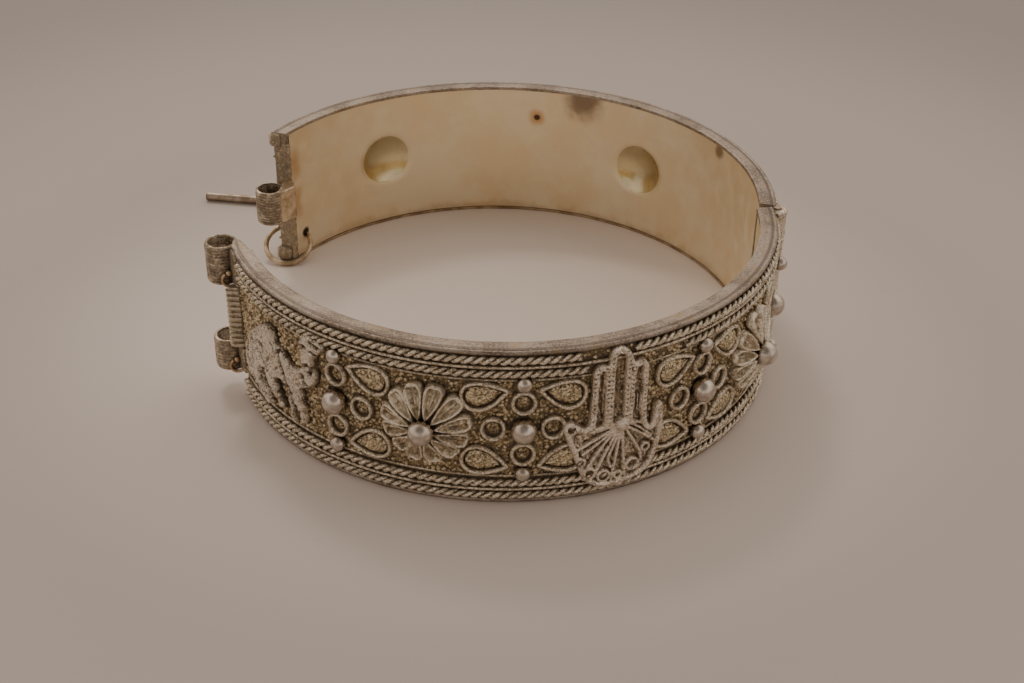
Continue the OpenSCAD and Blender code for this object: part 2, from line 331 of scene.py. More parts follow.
def aged_silver(name, deep, middle, high, reach, gold, rough, tall, crust, patch):
    """Silver that is dark in its corners and bright on its heights.

    The colours are those of corners, flanks and heights. Places are bright from tall on, gold is
    the share of brown, crust how dark the cracks are, and patch how much it varies."""
    bench, place = start_material(name + "_silver")
    broad = bench.noise(place, 0.4, 3)
    grime = bench.noise(place, 1.5, 3, 0.6)
    fine = bench.noise(place, 3.4, 5, 0.75)
    worm = bench.noise(place, 2.4)
    crack = 1 - bench.clip(bench.maths("ABSOLUTE", worm - 0.5), 0.0, 0.055)
    worn = open_sky(bench, reach) * 0.5 + bench.clip(rise_here(bench), -0.1, tall) * 0.5 + 0.1
    worn = worn + (fine - 0.5) * 1.6 + (grime - 0.5) + (broad - 0.5) * patch - crack * crust
    dark = bench.clip(worn, 0.2, 0.62)
    light = bench.clip(worn, 0.55, 1.05)
    warm = bench.clip(bench.noise(place, 0.8) + (fine - 0.5) * 0.3, 0.42, 0.62)
    tone = bench.mix(warm * gold, middle, (0.42, 0.30, 0.14))
    tone = bench.mix(dark, deep, bench.mix(light, tone, high))
    return finish(bench, tone, rough[0] + (rough[1] - rough[0]) * light, 0.3 + 0.7 * dark,
                  fine * 0.6 + grime * 0.4 - crack * crust * 0.5, 0.18)


def polished_silver():
    """The balls: bright, with a little tarnish low down and fine scratches."""
    bench, place = start_material("polished_silver")
    fine = bench.noise(place, 6, 4, 0.6)
    broad = bench.noise(place, 1.3)
    clean = bench.clip(open_sky(bench, 0.9) + (fine - 0.5) * 0.5, 0.25, 0.85)
    tone = bench.mix(bench.clip(broad, 0.35, 0.65), (0.70, 0.63, 0.55), (0.48, 0.41, 0.34))
    tone = bench.mix(clean, (0.10, 0.07, 0.045), tone)
    rough = 0.12 + fine * 0.14 + bench.clip(broad, 0.4, 0.6) * 0.08
    return finish(bench, tone, rough, 1, fine * 0.5 + broad * 1.5, 0.025)


def rim_silver():
    """The flat rims: grey-brown, rubbed along their length."""
    bench, place = start_material("rim_silver")
    x, y, z = bench.split(place)
    around = bench.maths("ARCTAN2", y, x)
    out = bench.measure("LENGTH", bench.join(x, y, 0.0))
    rubbed = bench.noise(bench.join(around * 14, out * 3.5, z), 1.0, 4, 0.6)
    broad = bench.noise(place, 0.25, 3, 0.6)
    fine = bench.noise(place, 7, 3, 0.6)
    grit = bench.noise(place, 3.6, 5, 0.8)
    patch = bench.noise(place, 0.5, 3, 0.6)
    rise = rise_here(bench) + (fine - 0.5) * 0.15
    stain = bench.clip(broad + (rubbed - 0.5) * 0.5, 0.38, 0.62)
    line = bench.clip(rise, -0.5, -0.3) * (1 - bench.clip(rise, -0.16, -0.06))
    tone = bench.mix(stain, (0.20, 0.155, 0.115), (0.42, 0.36, 0.305))
    tone = bench.mix((1 - bench.clip(grit, 0.36, 0.56)) * 0.5, tone, (0.15, 0.12, 0.10))
    tone = bench.mix(bench.clip(fine + grit, 0.9, 1.25) * 0.8, tone, (0.56, 0.48, 0.39))
    tone = bench.mix(bench.clip(patch, 0.5, 0.7) * 0.5, tone, (0.36, 0.25, 0.13))
    tone = bench.mix(line * 0.65, tone, (0.13, 0.10, 0.085))
    return finish(bench, tone, 0.36 + rubbed * 0.3, 1, rubbed * 0.5 + grit * 0.5, 0.07)


def plain_silver(name, clean, stained, rough):
    """Plain drawn wire, dull and a little stained."""
    bench, place = start_material(name)
    broad = bench.noise(place, 0.6, 3, 0.6)
    fine = bench.noise(place, 8, 3, 0.6)
    tone = bench.mix(bench.clip(broad + (fine - 0.5) * 0.4, 0.35, 0.65), stained, clean)
    return finish(bench, tone, rough + fine * 0.2, 1, fine, 0.015)


GROUND, GRAIN, PAD, WIRE, PETAL, FIGURE, LACE, END = [aged_silver(*row) for row in (
    ("ground", (0.17, 0.13, 0.09), (0.42, 0.33, 0.19), (0.74, 0.61, 0.40),
     1.0, 0.7, (0.7, 0.35), 0.35, 0.5, 0.6),
    ("grain", (0.19, 0.145, 0.10), (0.46, 0.36, 0.215), (0.82, 0.70, 0.49),
     0.5, 0.7, (0.6, 0.25), 0.35, 0.4, 0.7),
    ("pad", (0.14, 0.105, 0.075), (0.44, 0.34, 0.20), (0.80, 0.69, 0.48),
     0.5, 0.6, (0.65, 0.25), 0.55, 0.75, 0.3),
    ("ornament", (0.22, 0.175, 0.13), (0.47, 0.39, 0.27), (0.86, 0.77, 0.63),
     0.6, 0.4, (0.55, 0.22), 0.75, 0.45, 0.6),
    ("petal", (0.13, 0.102, 0.075), (0.48, 0.40, 0.28), (0.92, 0.84, 0.70),
     0.6, 0.5, (0.5, 0.2), 0.85, 0.2, 1.0),
    ("figure", (0.07, 0.052, 0.036), (0.24, 0.185, 0.12), (0.84, 0.755, 0.64),
     0.5, 0.5, (0.6, 0.28), 1.15, 0.4, 0.7),
    ("lace", (0.13, 0.10, 0.07), (0.38, 0.30, 0.20), (0.90, 0.81, 0.69),
     0.5, 0.5, (0.6, 0.26), 1.0, 0.25, 0.5),
    ("end", (0.25, 0.205, 0.15), (0.47, 0.39, 0.28), (0.70, 0.62, 0.49),
     0.4, 0.4, (0.7, 0.4), 0.5, 0.3, 0.5))]
BALL = polished_silver()
RIM = rim_silver()
LIP = plain_silver("gilt_lip", (0.58, 0.46, 0.32), (0.34, 0.25, 0.16), 0.4)
PLAIN = plain_silver("plain_silver", (0.52, 0.43, 0.34), (0.30, 0.22, 0.15), 0.35)
PALE_GILT = plain_silver("pale_gilt", (0.72, 0.59, 0.42), (0.38, 0.28, 0.17), 0.35)
GOLD = plain_silver("bare_gilt", (0.76, 0.60, 0.42), (0.46, 0.32, 0.19), 0.3)
print("finishes:", [material.name for material in bpy.data.materials])

# %% [markdown]
# ## Geometry Nodes helpers
# Whatever repeats, such as ropes, balls, petals and grains, is grown by a geometry tree. Most
# trees bend their flat layout round the wall, and each finished result becomes a plain mesh.

# %% Helpers for geometry trees
def new_tree(name, numbers, counts=()):
    """A geometry tree: its bench, and its named inputs as values."""
    tree = bpy.data.node_groups.new(name, "GeometryNodeTree")
    tree.interface.new_socket("Geometry", in_out="OUTPUT", socket_type="NodeSocketGeometry")
    arc = ["Centre X", "Centre Y", "Wall Radius"]
    kinds = {"Geometry": ["Geometry"], "Float": arc + numbers, "Int": counts, "Material": ["Finish"]}
    for kind, labels in kinds.items():
        for label in labels:
            tree.interface.new_socket(label, in_out="INPUT", socket_type="NodeSocket" + kind)
    bench = Bench(tree)
    source = tree.nodes.new("NodeGroupInput")
    return bench, {socket.name: Value(bench, socket) for socket in source.outputs if socket.name}


def bend_nodes(bench, given, geometry):
    """Bends flat geometry round the wall, and turns millimetres into metres."""
    along, height, out = bench.split(bench.geo("InputPosition"))
    angle = along / given["Wall Radius"]
    reach = given["Wall Radius"] + out
    place = bench.join((given["Centre X"] + reach * bench.maths("COSINE", angle)) * MM,
                       (given["Centre Y"] + reach * bench.maths("SINE", angle)) * MM, height * MM)
    return bench.geo("SetPosition", Geometry=geometry, Position=place)


def close_tree(bench, given, geometry):
    """Ends a tree: real copies, smooth shading and the finish."""
    geometry = bench.geo("RealizeInstances", Geometry=geometry)
    geometry = bench.geo("SetShadeSmooth", Geometry=geometry)
    geometry = bench.geo("SetMaterial", Geometry=geometry, Material=given["Finish"])
    bench.tree.links.new(geometry.socket, bench.tree.nodes.new("NodeGroupOutput").inputs[0])
    return bench.tree


def roughen(bench, geometry, amount, scale, detail=2.0):
    """Pushes a surface in and out a little, so that it looks cast and worn."""
    wave = bench.noise(bench.geo("InputPosition"), scale, detail)
    push = bench.scale(bench.geo("InputNormal"), (wave - 0.5) * amount)
    return bench.geo("SetPosition", Geometry=geometry, Offset=push)


def copies(bench, points, shape, scale=(1, 1, 1), turn=(0, 0, 0)):
    """Sets a shape on every point, and makes the copies real."""
    rotation = bench.node("FunctionNodeEulerToRotation", None, {0: turn})
    made = bench.geo("InstanceOnPoints", Points=points, Instance=shape, Rotation=rotation, Scale=scale)
    return bench.geo("RealizeInstances", Geometry=made)


def thicken(bench, sheet, way, depth, merge):
    """Closes a sheet: a copy with walls is pushed out along z, and the lower side turned over."""
    pushed = bench.geo("ExtrudeMesh", Mesh=sheet, Offset=bench.join(0.0, 0.0, way),
                       Offset_Scale=depth, Individual=False)
    upper, lower = (pushed, sheet) if way > 0 else (sheet, pushed)
    solid = bench.geo("JoinGeometry", Geometry=[upper, bench.geo("FlipFaces", Mesh=lower)])
    return bench.geo("MergeByDistance", Geometry=solid, Distance=merge)


def point_mesh(places, **facts):
    """A mesh of loose points, each with its own numbers."""
    mesh = bpy.data.meshes.new("points")
    mesh.from_pydata([tuple(place) for place in places], [], [])
    for fact, values in facts.items():
        data = mesh.attributes.new(fact, "FLOAT", "POINT")
        data.data.foreach_set("value", np.asarray(values, np.float32))
    return mesh


def plain_mesh(piece):
    """A piece's mesh with its modifiers applied."""
    graph = bpy.context.evaluated_depsgraph_get()
    mesh = bpy.data.meshes.new_from_object(piece.evaluated_get(graph), depsgraph=graph)
    piece.modifiers.clear()
    return mesh


def grow(name, half, tree, material, values, points=None):
    """Runs a tree once, round a half's wall, and keeps its result as a plain mesh."""
    values = {"Centre X": half.x, "Centre Y": half.y, "Wall Radius": half.outer,
              "Finish": material, **values}
    start = add_object(name + "_start", points or bpy.data.meshes.new(name + "_start"))
    modifier = start.modifiers.new("grow", "NODES")
    modifier.node_group = tree
    for item in tree.interface.items_tree:
        if item.in_out == "INPUT" and item.name in values:
            modifier[item.identifier] = values[item.name]
    mesh = plain_mesh(start)
    mesh.name = name
    bpy.data.objects.remove(start)
    return add_object(name, mesh)


# %% Keeping a piece
def mark_rise(piece, half):
    """Notes on every point how far it stands out from the wall or dome below it."""
    mesh = piece.data
    place = np.zeros(len(mesh.vertices) * 3, np.float32)
    mesh.vertices.foreach_get("co", place)
    x, y, z = (place.reshape(-1, 3) / MM).T
    angle = np.arctan2(y - half.y, x - half.x)
    behind = angle * half.side < -math.pi / 2
    angle = np.where(behind, angle + half.side * 2 * math.pi, angle)
    rise = np.hypot(x - half.x, y - half.y) - half.outer
    rise -= dome_height(half, angle * half.outer, z)
    data = mesh.attributes.new("rise", "FLOAT", "POINT")
    data.data.foreach_set("value", rise.astype(np.float32))


def keep(piece, half, kind="_case"):
    """Hangs a piece on its body, notes how far its points rise, and hides the CAD node it stands for."""
    node = half.name + kind
    mark_rise(piece, half)
    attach(piece, half.name)
    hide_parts(node)
    print(piece.name, sum(len(face.vertices) - 2 for face in piece.data.polygons), "triangles")


def keep_joined(half, name, pieces):
    """Makes several meshes one piece of a half, and keeps it."""
    with bpy.context.temp_override(active_object=pieces[0], object=pieces[0],
                                   selected_editable_objects=pieces, selected_objects=pieces):
        bpy.ops.object.join()
    pieces[0].name = half.name + "_" + name
    pieces[0].data.name = half.name + "_" + name
    keep(pieces[0], half)


# %% [markdown]
# ## Walls
# Each half is a C-shaped wall: a plate with a flat rim along both edges and a shallow pocket
# behind for the liner. A ring of section points is repeated along the arc, which makes the whole
# wall in one sweep. The outside of the plate gets the round domes of the rosettes and an uneven,
# cast ground.

# %% Ground outside the wall
ROSETTES = {"back": [67.1, 135.2], "front": [39, 113.3]}
DOME = 8.08  # radius of the ball that a dome is cut from
DOME_LIFT = -6.78  # how far out from the wall that ball's centre lies


def lumps(x, y, seed, size, count=7):
    """A smooth uneven surface between about -1 and 1, made of a few crossing waves."""
    rng = np.random.default_rng(seed)
    total = np.zeros(np.shape(x))
    for _ in range(count):
        way = rng.uniform(0, math.pi)
        pitch = size * rng.uniform(0.7, 1.6)
        phase = rng.uniform(0, 2 * math.pi)
        total += np.sin((x * math.cos(way) + y * math.sin(way)) * 2 * math.pi / pitch + phase)
    return total / count * 1.6


def dome_height(half, along, height):
    """How far the domes under the rosettes stand out from the wall."""
    total = np.zeros(np.shape(along))
    for angle in ROSETTES[half.name]:
        off = along - half.along(angle)
        square = np.minimum(off ** 2 + (height - FIELD) ** 2, DOME ** 2)
        rise = np.sqrt(DOME ** 2 - square) + DOME_LIFT + off ** 2 / (2 * half.outer)
        total = np.maximum(total, np.where(square < 30, rise, 0))
    return total


def ground_height(half, along, height):
    """The wall's outside: domes, and a slightly uneven ground."""
    rough = 0.05 * lumps(along, height, 5, 2.2) + 0.03 * lumps(along, height, 8, 0.9)
    return dome_height(half, along, height) + rough


# %% The swept walls
PLATE, EDGE, POCKET, BOTTOM = range(4)  # what a point of the section belongs to
CAP = 3  # the finish of the two end faces


def section():
    """Points round a wall's section: the way out from the inner radius, the height, a part."""
    line = [(WALL, z, PLATE) for z in np.linspace(0.75, BAND - 0.75, 50)]
    line += [(WALL, BAND - 0.3, EDGE), (WALL, BAND - 0.12, EDGE), (WALL - 0.05, BAND - 0.03, EDGE)]
    line += [(x, BAND, EDGE) for x in np.linspace(WALL - 0.15, 0.12, 7)]
    line += [(0.03, BAND - 0.03, EDGE), (0, BAND - 0.12, EDGE), (0, BAND - 0.4, EDGE)]
    line += [(0.65, z, POCKET) for z in np.linspace(BAND - 0.4, 0.4, 24)]
    line += [(0, 0.4, BOTTOM), (0, 0.12, BOTTOM), (0.03, 0.03, EDGE)]
    line += [(x, 0, EDGE) for x in np.linspace(0.12, WALL - 0.15, 7)]
    line += [(WALL - 0.05, 0.03, EDGE), (WALL, 0.12, EDGE), (WALL, 0.3, EDGE)]
    return np.array(line)


def ring_faces(a, b):
    """Four-sided faces between rows of closed rings."""
    return np.stack([a, b, np.roll(b, -1, 1), np.roll(a, -1, 1)], -1).reshape(-1, 4)


def new_piece(name, places, faces, materials, finishes=None):
    """A mesh object from places and faces, smooth except at real edges."""
    mesh = bpy.data.meshes.new(name)
    mesh.from_pydata(places.reshape(-1, 3).tolist(), [], faces)
    for material in materials:
        mesh.materials.append(material)
    if finishes is not None:
        mesh.polygons.foreach_set("material_index", np.asarray(finishes, np.int32))
    mesh.shade_smooth()
    mesh.set_sharp_from_angle(angle=math.radians(50))
    mesh.update()
    return add_object(name, mesh)


def make_wall(half):
    """Sweeps the section along the half, from its hinge end to its clasp end."""
    ring = section()
    steps = np.concatenate([[0, 0.0072, 0.0073], np.linspace(0.012, 0.988, 260), [0.9927, 0.9928, 1]])
    start, end = half.ends(half.inner + ring[:, 0])
    angles = start + steps[:, None] * (end - start)
    along = half.side * np.radians(angles - HALF_OPEN) * half.outer
    out = np.broadcast_to(ring[:, 0] - WALL, angles.shape).copy()
    height = np.broadcast_to(ring[:, 1], angles.shape)
    plate = ring[:, 2] == PLATE
    pocket = ring[:, 2] == POCKET
    rims = (ring[:, 2] == EDGE) | (ring[:, 2] == BOTTOM)
    out[:, plate] += ground_height(half, along, height)[:, plate]
    dome = dome_height(half, along, height)
    out = np.where(pocket & (dome > 0.02), np.maximum(out, dome - 1.2), out)
    out[:2, pocket] = out[-2:, pocket] = 0.06 - WALL
    out[:, rims] += 0.025 * lumps(along, height * 0, 3, 6)[:, rims]
    places = half.bend(along, height + 0.02 * lumps(along, height * 0, 4, 9) * rims, out)
    count, width = angles.shape
    index = np.arange(count * width).reshape(count, width)
    quads = ring_faces(index[:-1], index[1:])
    caps = [index[0].tolist(), index[-1][::-1].tolist()]
    if half.side > 0:
        quads = quads[:, ::-1]
    else:
        caps = [cap[::-1] for cap in caps]
    kinds = np.array([0, 1, 1, 2])[ring[:, 2].astype(int)]
    marks = np.broadcast_to(kinds, (count - 1, width)).reshape(-1).tolist()
    piece = new_piece(half.name + "_wall", places, quads.tolist() + caps, [GROUND, RIM, LIP, END],
                      marks + [CAP, CAP])
    keep(piece, half)


for half in HALVES:
    make_wall(half)

# %% [markdown]
# ## Liners
# A thin gilt sheet lies in each pocket, with a round dimple pushed out behind each rosette. A
# sheet that follows a rule suits a geometry tree: a fine grid is dimpled, given its thickness
# and bent. The stains on the gilding are spots at places that can be seen in the picture.

# %% Worn gilding
STAINS = [  # angle from the hinge, height, size, where it starts to fade and ends, share, colour
    (95.3, 13.9, 1.5, 0.2, 1.0, 0.7, (0.55, 0.27, 0.07)),
    (95.3, 13.9, 0.5, 0.5, 1.0, 0.95, (0.05, 0.03, 0.02)),
    (83.0, 16.9, 3.6, 0.25, 1.0, 0.75, (0.12, 0.06, 0.04)),
    (39.5, 16.9, 1.3, 0.3, 1.0, 0.7, (0.14, 0.07, 0.03)),
    (162.0, 3.2, 0.95, 0.5, 0.9, 1.0, (0.03, 0.018, 0.01))]
STAINS += [(164.6, height, 1.2, 0.2, 1.3, 0.42, (0.55, 0.31, 0.11))
           for height in (14.2, 13.0, 11.8, 9.0, 7.8, 6.6)]


def gilt_sheet():
    """Worn gilding: warm and cloudy, with stains, a pit, and bright dimples."""
    bench, place = start_material("gilt_sheet")
    broad = bench.noise(place, 0.09, 4, 0.6)
    cloud = bench.noise(place, 0.45, 4, 0.6)
    fine = bench.noise(place, 5, 4, 0.65)

    def apart(half, angle, height, out):
        """How far a place is from a place on a half's wall."""
        centre = half.bend(half.along(angle), height, out) / MM
        return bench.measure("DISTANCE", place, tuple(map(float, centre)))

    tone = bench.mix(bench.clip(broad + (cloud - 0.5) * 0.4, 0.35, 0.65),
                     (0.83, 0.69, 0.455), (0.87, 0.77, 0.57))
    tone = bench.mix(bench.clip(fine, 0.55, 0.8) * 0.3, tone, (0.58, 0.43, 0.26))
    low = 1 - bench.clip(bench.split(place)[2] + (cloud - 0.5) * 2.5, 0.4, 1.6)
    tone = bench.mix(low * 0.3, tone, (0.40, 0.26, 0.13))
    for angle, height, size, near, far, share, colour in STAINS:
        away = apart(BACK, angle, height, -WALL) / size + (cloud - 0.5) * 0.8
        tone = bench.mix((1 - bench.clip(away, near, far)) * share, tone, colour)
    cup = 0.0
    for half in HALVES:
        for angle in ROSETTES[half.name]:
            cup = (1 - bench.clip(apart(half, angle, FIELD, 1.0 - WALL), 3.3, 3.5)) + cup
    tone = bench.mix(cup * 0.65, tone, (0.50, 0.43, 0.22))
    metal = 0.8 - bench.clip(cloud, 0.5, 0.8) * 0.3 + cup * 0.2
    return finish(bench, tone, 0.36 + cloud * 0.2 - cup * 0.34, metal, fine * 0.5 + cloud * 0.5, 0.03)


# %% Liner sheets
def liner_tree():
    """A grid with dimples, thickened and bent round."""
    bench, given = new_tree("liner", ["Start", "End", "Height", "Dimple A", "Dimple B",
                                      "Dimple Ball", "Dimple Depth", "Thickness"])
    length = given["End"] - given["Start"]
    sheet = bench.geo("MeshGrid", Size_X=length, Size_Y=given["Height"], Vertices_X=240, Vertices_Y=46)
    middle = bench.join((given["End"] + given["Start"]) * 0.5, BAND / 2, 0.0)
    sheet = bench.geo("Transform", Geometry=sheet, Translation=middle)
    place = bench.geo("InputPosition")
    along, height, out = bench.split(place)
    ball = given["Dimple Ball"]
    rise = 0.0
    for name in ("Dimple A", "Dimple B"):
        off = along - given[name]
        square = bench.maths("MINIMUM", off * off + (height - FIELD) ** 2.0, ball * ball)
        cup = bench.maths("SQRT", ball * ball - square) + given["Dimple Depth"] - ball
        bow = bench.maths("MINIMUM", off * off, 20.0) / (given["Wall Radius"] * 2.0)
        rise = bench.maths("SMOOTH_MAX", cup + bow, 0.0, 0.03) + rise
    wave = bench.noise(place, 0.12)
    push = bench.join(0.0, 0.0, rise + (wave - 0.5) * 0.12 - 0.02)
    sheet = bench.geo("SetPosition", Geometry=sheet, Offset=push)
    sheet = thicken(bench, sheet, 1.0, given["Thickness"], 0.001)
    return close_tree(bench, given, bend_nodes(bench, given, sheet))


LINER_TREE = liner_tree()
GILT = gilt_sheet()


def make_liner(half):
    """Lays the gilt sheet in a half's pocket."""
    radius = half.inner + 0.1
    stretch = half.side * math.radians(1) * radius
    start, end = sorted((angle - HALF_OPEN) * stretch for angle in half.ends(radius, 0.8, 3.3))
    dimples = [(angle - HALF_OPEN) * stretch for angle in ROSETTES[half.name]]
    piece = grow(half.name + "_liner_sheet", half, LINER_TREE, GILT, {
        "Wall Radius": radius, "Start": start, "End": end, "Height": BAND - 0.9,
        "Dimple A": dimples[0], "Dimple B": dimples[1], "Dimple Ball": 6.28, "Dimple Depth": 1.0,
        "Thickness": 0.5})
    piece.data.set_sharp_from_angle(angle=math.radians(50))
    keep(piece, half, "_liner")


for half in HALVES:
    make_liner(half)

# %% [markdown]
# ## Ropes and plain wires
# A rope is two wires twisted together and soldered along the band. Each strand is a straight
# line that is wound into a helix, given a round section and bent round the wall. The same tree
# with one untwisted strand makes the plain wires.

# %% Ropes and wires
LAY = 1.84  # length of one full twist of a rope
WIRE_OUT = 0.3  # how far out from the wall the ends of ropes and wires are measured


def rope_tree(name, phases):
    """Twisted strands along the band, one for each phase."""
    bench, given = new_tree(name, ["Start", "End", "Height", "Rise", "Twist Radius",
                                   "Strand Radius", "Lay", "Wear"], ["Points", "Sides"])
    strands = []
    for phase in phases:
        line = bench.geo("CurvePrimitiveLine", Start=bench.join(given["Start"], 0.0, 0.0),
                         End=bench.join(given["End"], 0.0, 0.0))
        line = bench.geo("ResampleCurve", Curve=line, Count=given["Points"])
        along = bench.split(bench.geo("InputPosition"))[0]
        turn = phase - along * (2 * math.pi) / given["Lay"]
        place = bench.join(
            along, given["Height"] + given["Twist Radius"] * bench.maths("COSINE", turn),
            given["Rise"] + given["Twist Radius"] * bench.maths("SINE", turn))
        line = bench.geo("SetPosition", Geometry=line, Position=place)
        wire = bench.geo("CurvePrimitiveCircle", Resolution=given["Sides"], Radius=given["Strand Radius"])
        strands.append(bench.geo("CurveToMesh", Curve=line, Profile_Curve=wire, Fill_Caps=True))
    rope = roughen(bench, bench.geo("JoinGeometry", Geometry=strands), given["Wear"], 2.1)
    return close_tree(bench, given, bend_nodes(bench, given, rope))


ROPE_TREE = rope_tree("twisted_rope", [0.0, math.pi])
WIRE_TREE = rope_tree("plain_wire", [0.0])


def lay_wires(half, name, tree, runs, twist, step, sides, wear, material):
    """Lays ropes or wires as one piece. A run is two angles, its height, rise and radius."""
    pieces = []
    for first, last, height, rise, radius in runs:
        start, end = sorted([half.along(first), half.along(last)])
        pieces.append(grow("run", half, tree, material, {
            "Start": start, "End": end, "Height": height, "Rise": rise, "Twist Radius": twist,
            "Strand Radius": radius, "Lay": LAY, "Points": int((end - start) / step) + 2,
            "Sides": sides, "Wear": wear}))
    keep_joined(half, name, pieces)


def make_ropes(half):
    """Four ropes on a half, two along each edge. The hand breaks the front's upper two."""
    first, last = half.ends(half.outer + WIRE_OUT)
    last -= 2.2
    whole = [(first, last)]
    runs = [(whole, 1.0), (whole, 2.5), (whole, BAND - 1.0), (whole, BAND - 2.5)]
    if half is FRONT:
        runs[2:] = [([(first, 74.3), (84.8, last)], BAND - 1.0),
                    ([(first, 62.5), (83.5, last)], BAND - 2.5)]
    runs = [(*stretch, height, 0.32, 0.23) for stretches, height in runs for stretch in stretches]
    lay_wires(half, "ropes", ROPE_TREE, runs, 0.22, 0.21, 8, 0.26, WIRE)


def make_wires(half):
    """The fine wires between the ropes, and the round wires along the edges."""
    ends = half.ends(half.outer + WIRE_OUT)
    fine = [(*ends, z, rise, radius) for low, rise, radius in ((1.76, 0.36, 0.18), (3.3, 0.15, 0.15))
            for z in (low, BAND - low)]
    lay_wires(half, "fine_wires", WIRE_TREE, fine, 0.0, 0.6, 8, 0.05, WIRE)
    edge = [(*ends, z, 0.12, 0.25) for z in (0.26, BAND - 0.26)]
    lay_wires(half, "edge_wires", WIRE_TREE, edge, 0.0, 0.5, 12, 0.08, RIM)


for half in HALVES:
    make_ropes(half)
    make_wires(half)

# %% [markdown]
# ## Balls and beads
# Small solid balls are soldered at the middle and at both ends of each column, and on top of
# each rosette. Only their places change, so a tree puts one ball on each point of a small mesh.

# %% Balls and beads
GROUPS = {"back": [50, 84.1, 118.2], "front": [57.5, 95.1]}
COLUMNS = {"back": [16, 33.2, 101.2, 151.5], "front": [20, 131.9]}
LONE_WINGS = {"back": [(16, 1), (151.5, -1)], "front": [(20, 1), (131.9, -1)]}
BEAD_OFF = 5.3  # from a column's middle to the beads at its ends
BALL_RADIUS = 1.32
BEAD_RADIUS = 0.82


def ball_tree():
    """A slightly uneven ball on each point, as large as the point says."""
    bench, given = new_tree("balls", [], ["Segments", "Rings"])
    size = bench.geo("InputNamedAttribute", Name="size") * MM
    ball = bench.geo("MeshUVSphere", Segments=given["Segments"], Rings=given["Rings"], Radius=1.0)
    points = bend_nodes(bench, given, given["Geometry"])
    balls = copies(bench, points, ball, bench.join(size, size, size))
    return close_tree(bench, given, roughen(bench, balls, 0.00008, 900.0, 1.0))


BALL_TREE = ball_tree()


def ball_places(half):
    """Places and sizes of all balls and beads of a half."""
    rows = []
    for angle in GROUPS[half.name] + COLUMNS[half.name]:
        along = half.along(angle)
        out = 0.95 if angle < 30 else 0.5
        rows.append((along, FIELD, 0.78, BALL_RADIUS))
        rows += [(along, FIELD + up * BEAD_OFF, out, BEAD_RADIUS) for up in (-1, 1)]
    rows += [(half.along(angle), FIELD, 2.1, BALL_RADIUS) for angle in ROSETTES[half.name]]
    return np.array(rows)


for half in HALVES:
    rows = ball_places(half)
    points = point_mesh(rows[:, :3], size=rows[:, 3])
    keep(grow(half.name + "_balls", half, BALL_TREE, BALL, {"Segments": 28, "Rings": 18}, points), half)

# %% [markdown]
# ## Rings, drops and their pads
# Flat wire is bent into rings and teardrops, set on edge and soldered. A granulated pad fills
# each one, with a dark groove all round it. The wires are grown on points by a tree. The pads
# are drawn as small maps of heights, because each has its own grain.

# %% Rings and drops
RING_OFF = 3.05  # from a column's middle to the rings above and below it
WING_RING = 2.95  # from a column's middle to the ring in its wing
WING_DROP = (3.75, 3.95)  # from a column's middle to a drop of its wing, along and up
DROP_LEAN = 14  # how far a drop leans, in degrees


def frame_tree(name, pointed):
    """A standing wire on each point, round or pointed like a drop."""
    bench, given = new_tree(name, ["Length", "Width", "Wire", "Wire Height", "Wear"], ["Steps"])
    line = bench.geo("CurvePrimitiveCircle", Resolution=given["Steps"], Radius=1.0)
    x, y, z = bench.split(bench.geo("InputPosition"))
    if pointed:
        y = y * bench.maths("MAXIMUM", (1 - x) * 0.5, 0.0) ** 0.55
    place = bench.join(x * given["Length"] * 0.5, y * given["Width"] * 0.5, 0.0)
    line = bench.geo("SetPosition", Geometry=line, Position=place)
    wire = bench.geo("CurvePrimitiveCircle", Resolution=8, Radius=1.0)
    wire = bench.geo("Transform", Geometry=wire,
                     Scale=bench.join(given["Wire"], given["Wire Height"], 1.0))
    rim = bench.geo("CurveToMesh", Curve=line, Profile_Curve=wire)
    turn = bench.join(0.0, 0.0, bench.geo("InputNamedAttribute", Name="turn"))
    rims = roughen(bench, copies(bench, given["Geometry"], rim, turn=turn), given["Wear"], 1.3)
    return close_tree(bench, given, bend_nodes(bench, given, rims))


RING_TREE = frame_tree("rings", False)
DROP_TREE = frame_tree("drops", True)


def wings(half):
    """Angle and side of every wing of a half."""
    return [(angle, side) for angle in GROUPS[half.name] for side in (-1, 1)] + LONE_WINGS[half.name]


def ring_places(half):
    """Places of the little rings: above and below each ball, and one in each wing."""
    rows = [(half.along(angle), FIELD + up * RING_OFF)
            for angle in GROUPS[half.name] + COLUMNS[half.name] for up in (-1, 1)]
    return rows + [(half.along(angle) + side * half.side * WING_RING, FIELD)
                   for angle, side in wings(half)]


def drop_places(half):
    """Places and turns of the drops, each with its tip towards its column."""
    rows = []
    for angle, side in wings(half):
        way = side * half.side
        for up in (-1, 1):
            turn = math.radians(up * DROP_LEAN)
            turn = math.pi - turn if way > 0 else turn
            rows.append((half.along(angle) + way * WING_DROP[0], FIELD + up * WING_DROP[1], turn))
    return rows


def make_frames(half):
    """The standing wires of all rings and drops of a half."""
    common = {"Wire": 0.23, "Wire Height": 0.42, "Wear": 0.18}
    rings = [(s, z, 0) for s, z in ring_places(half)]
    pieces = []
    for tree, places, length, width, steps in ((RING_TREE, rings, 2.2, 2.4, 26),
                                               (DROP_TREE, drop_places(half), 4.6, 4.1, 40)):
        points = point_mesh([(s, z, 0.28) for s, z, turn in places],
                            turn=[turn for s, z, turn in places])
        pieces.append(grow("frames", half, tree, WIRE, {
            **common, "Length": length, "Width": width, "Steps": steps}, points))
    keep_joined(half, "frames", pieces)


for half in HALVES:
    make_frames(half)

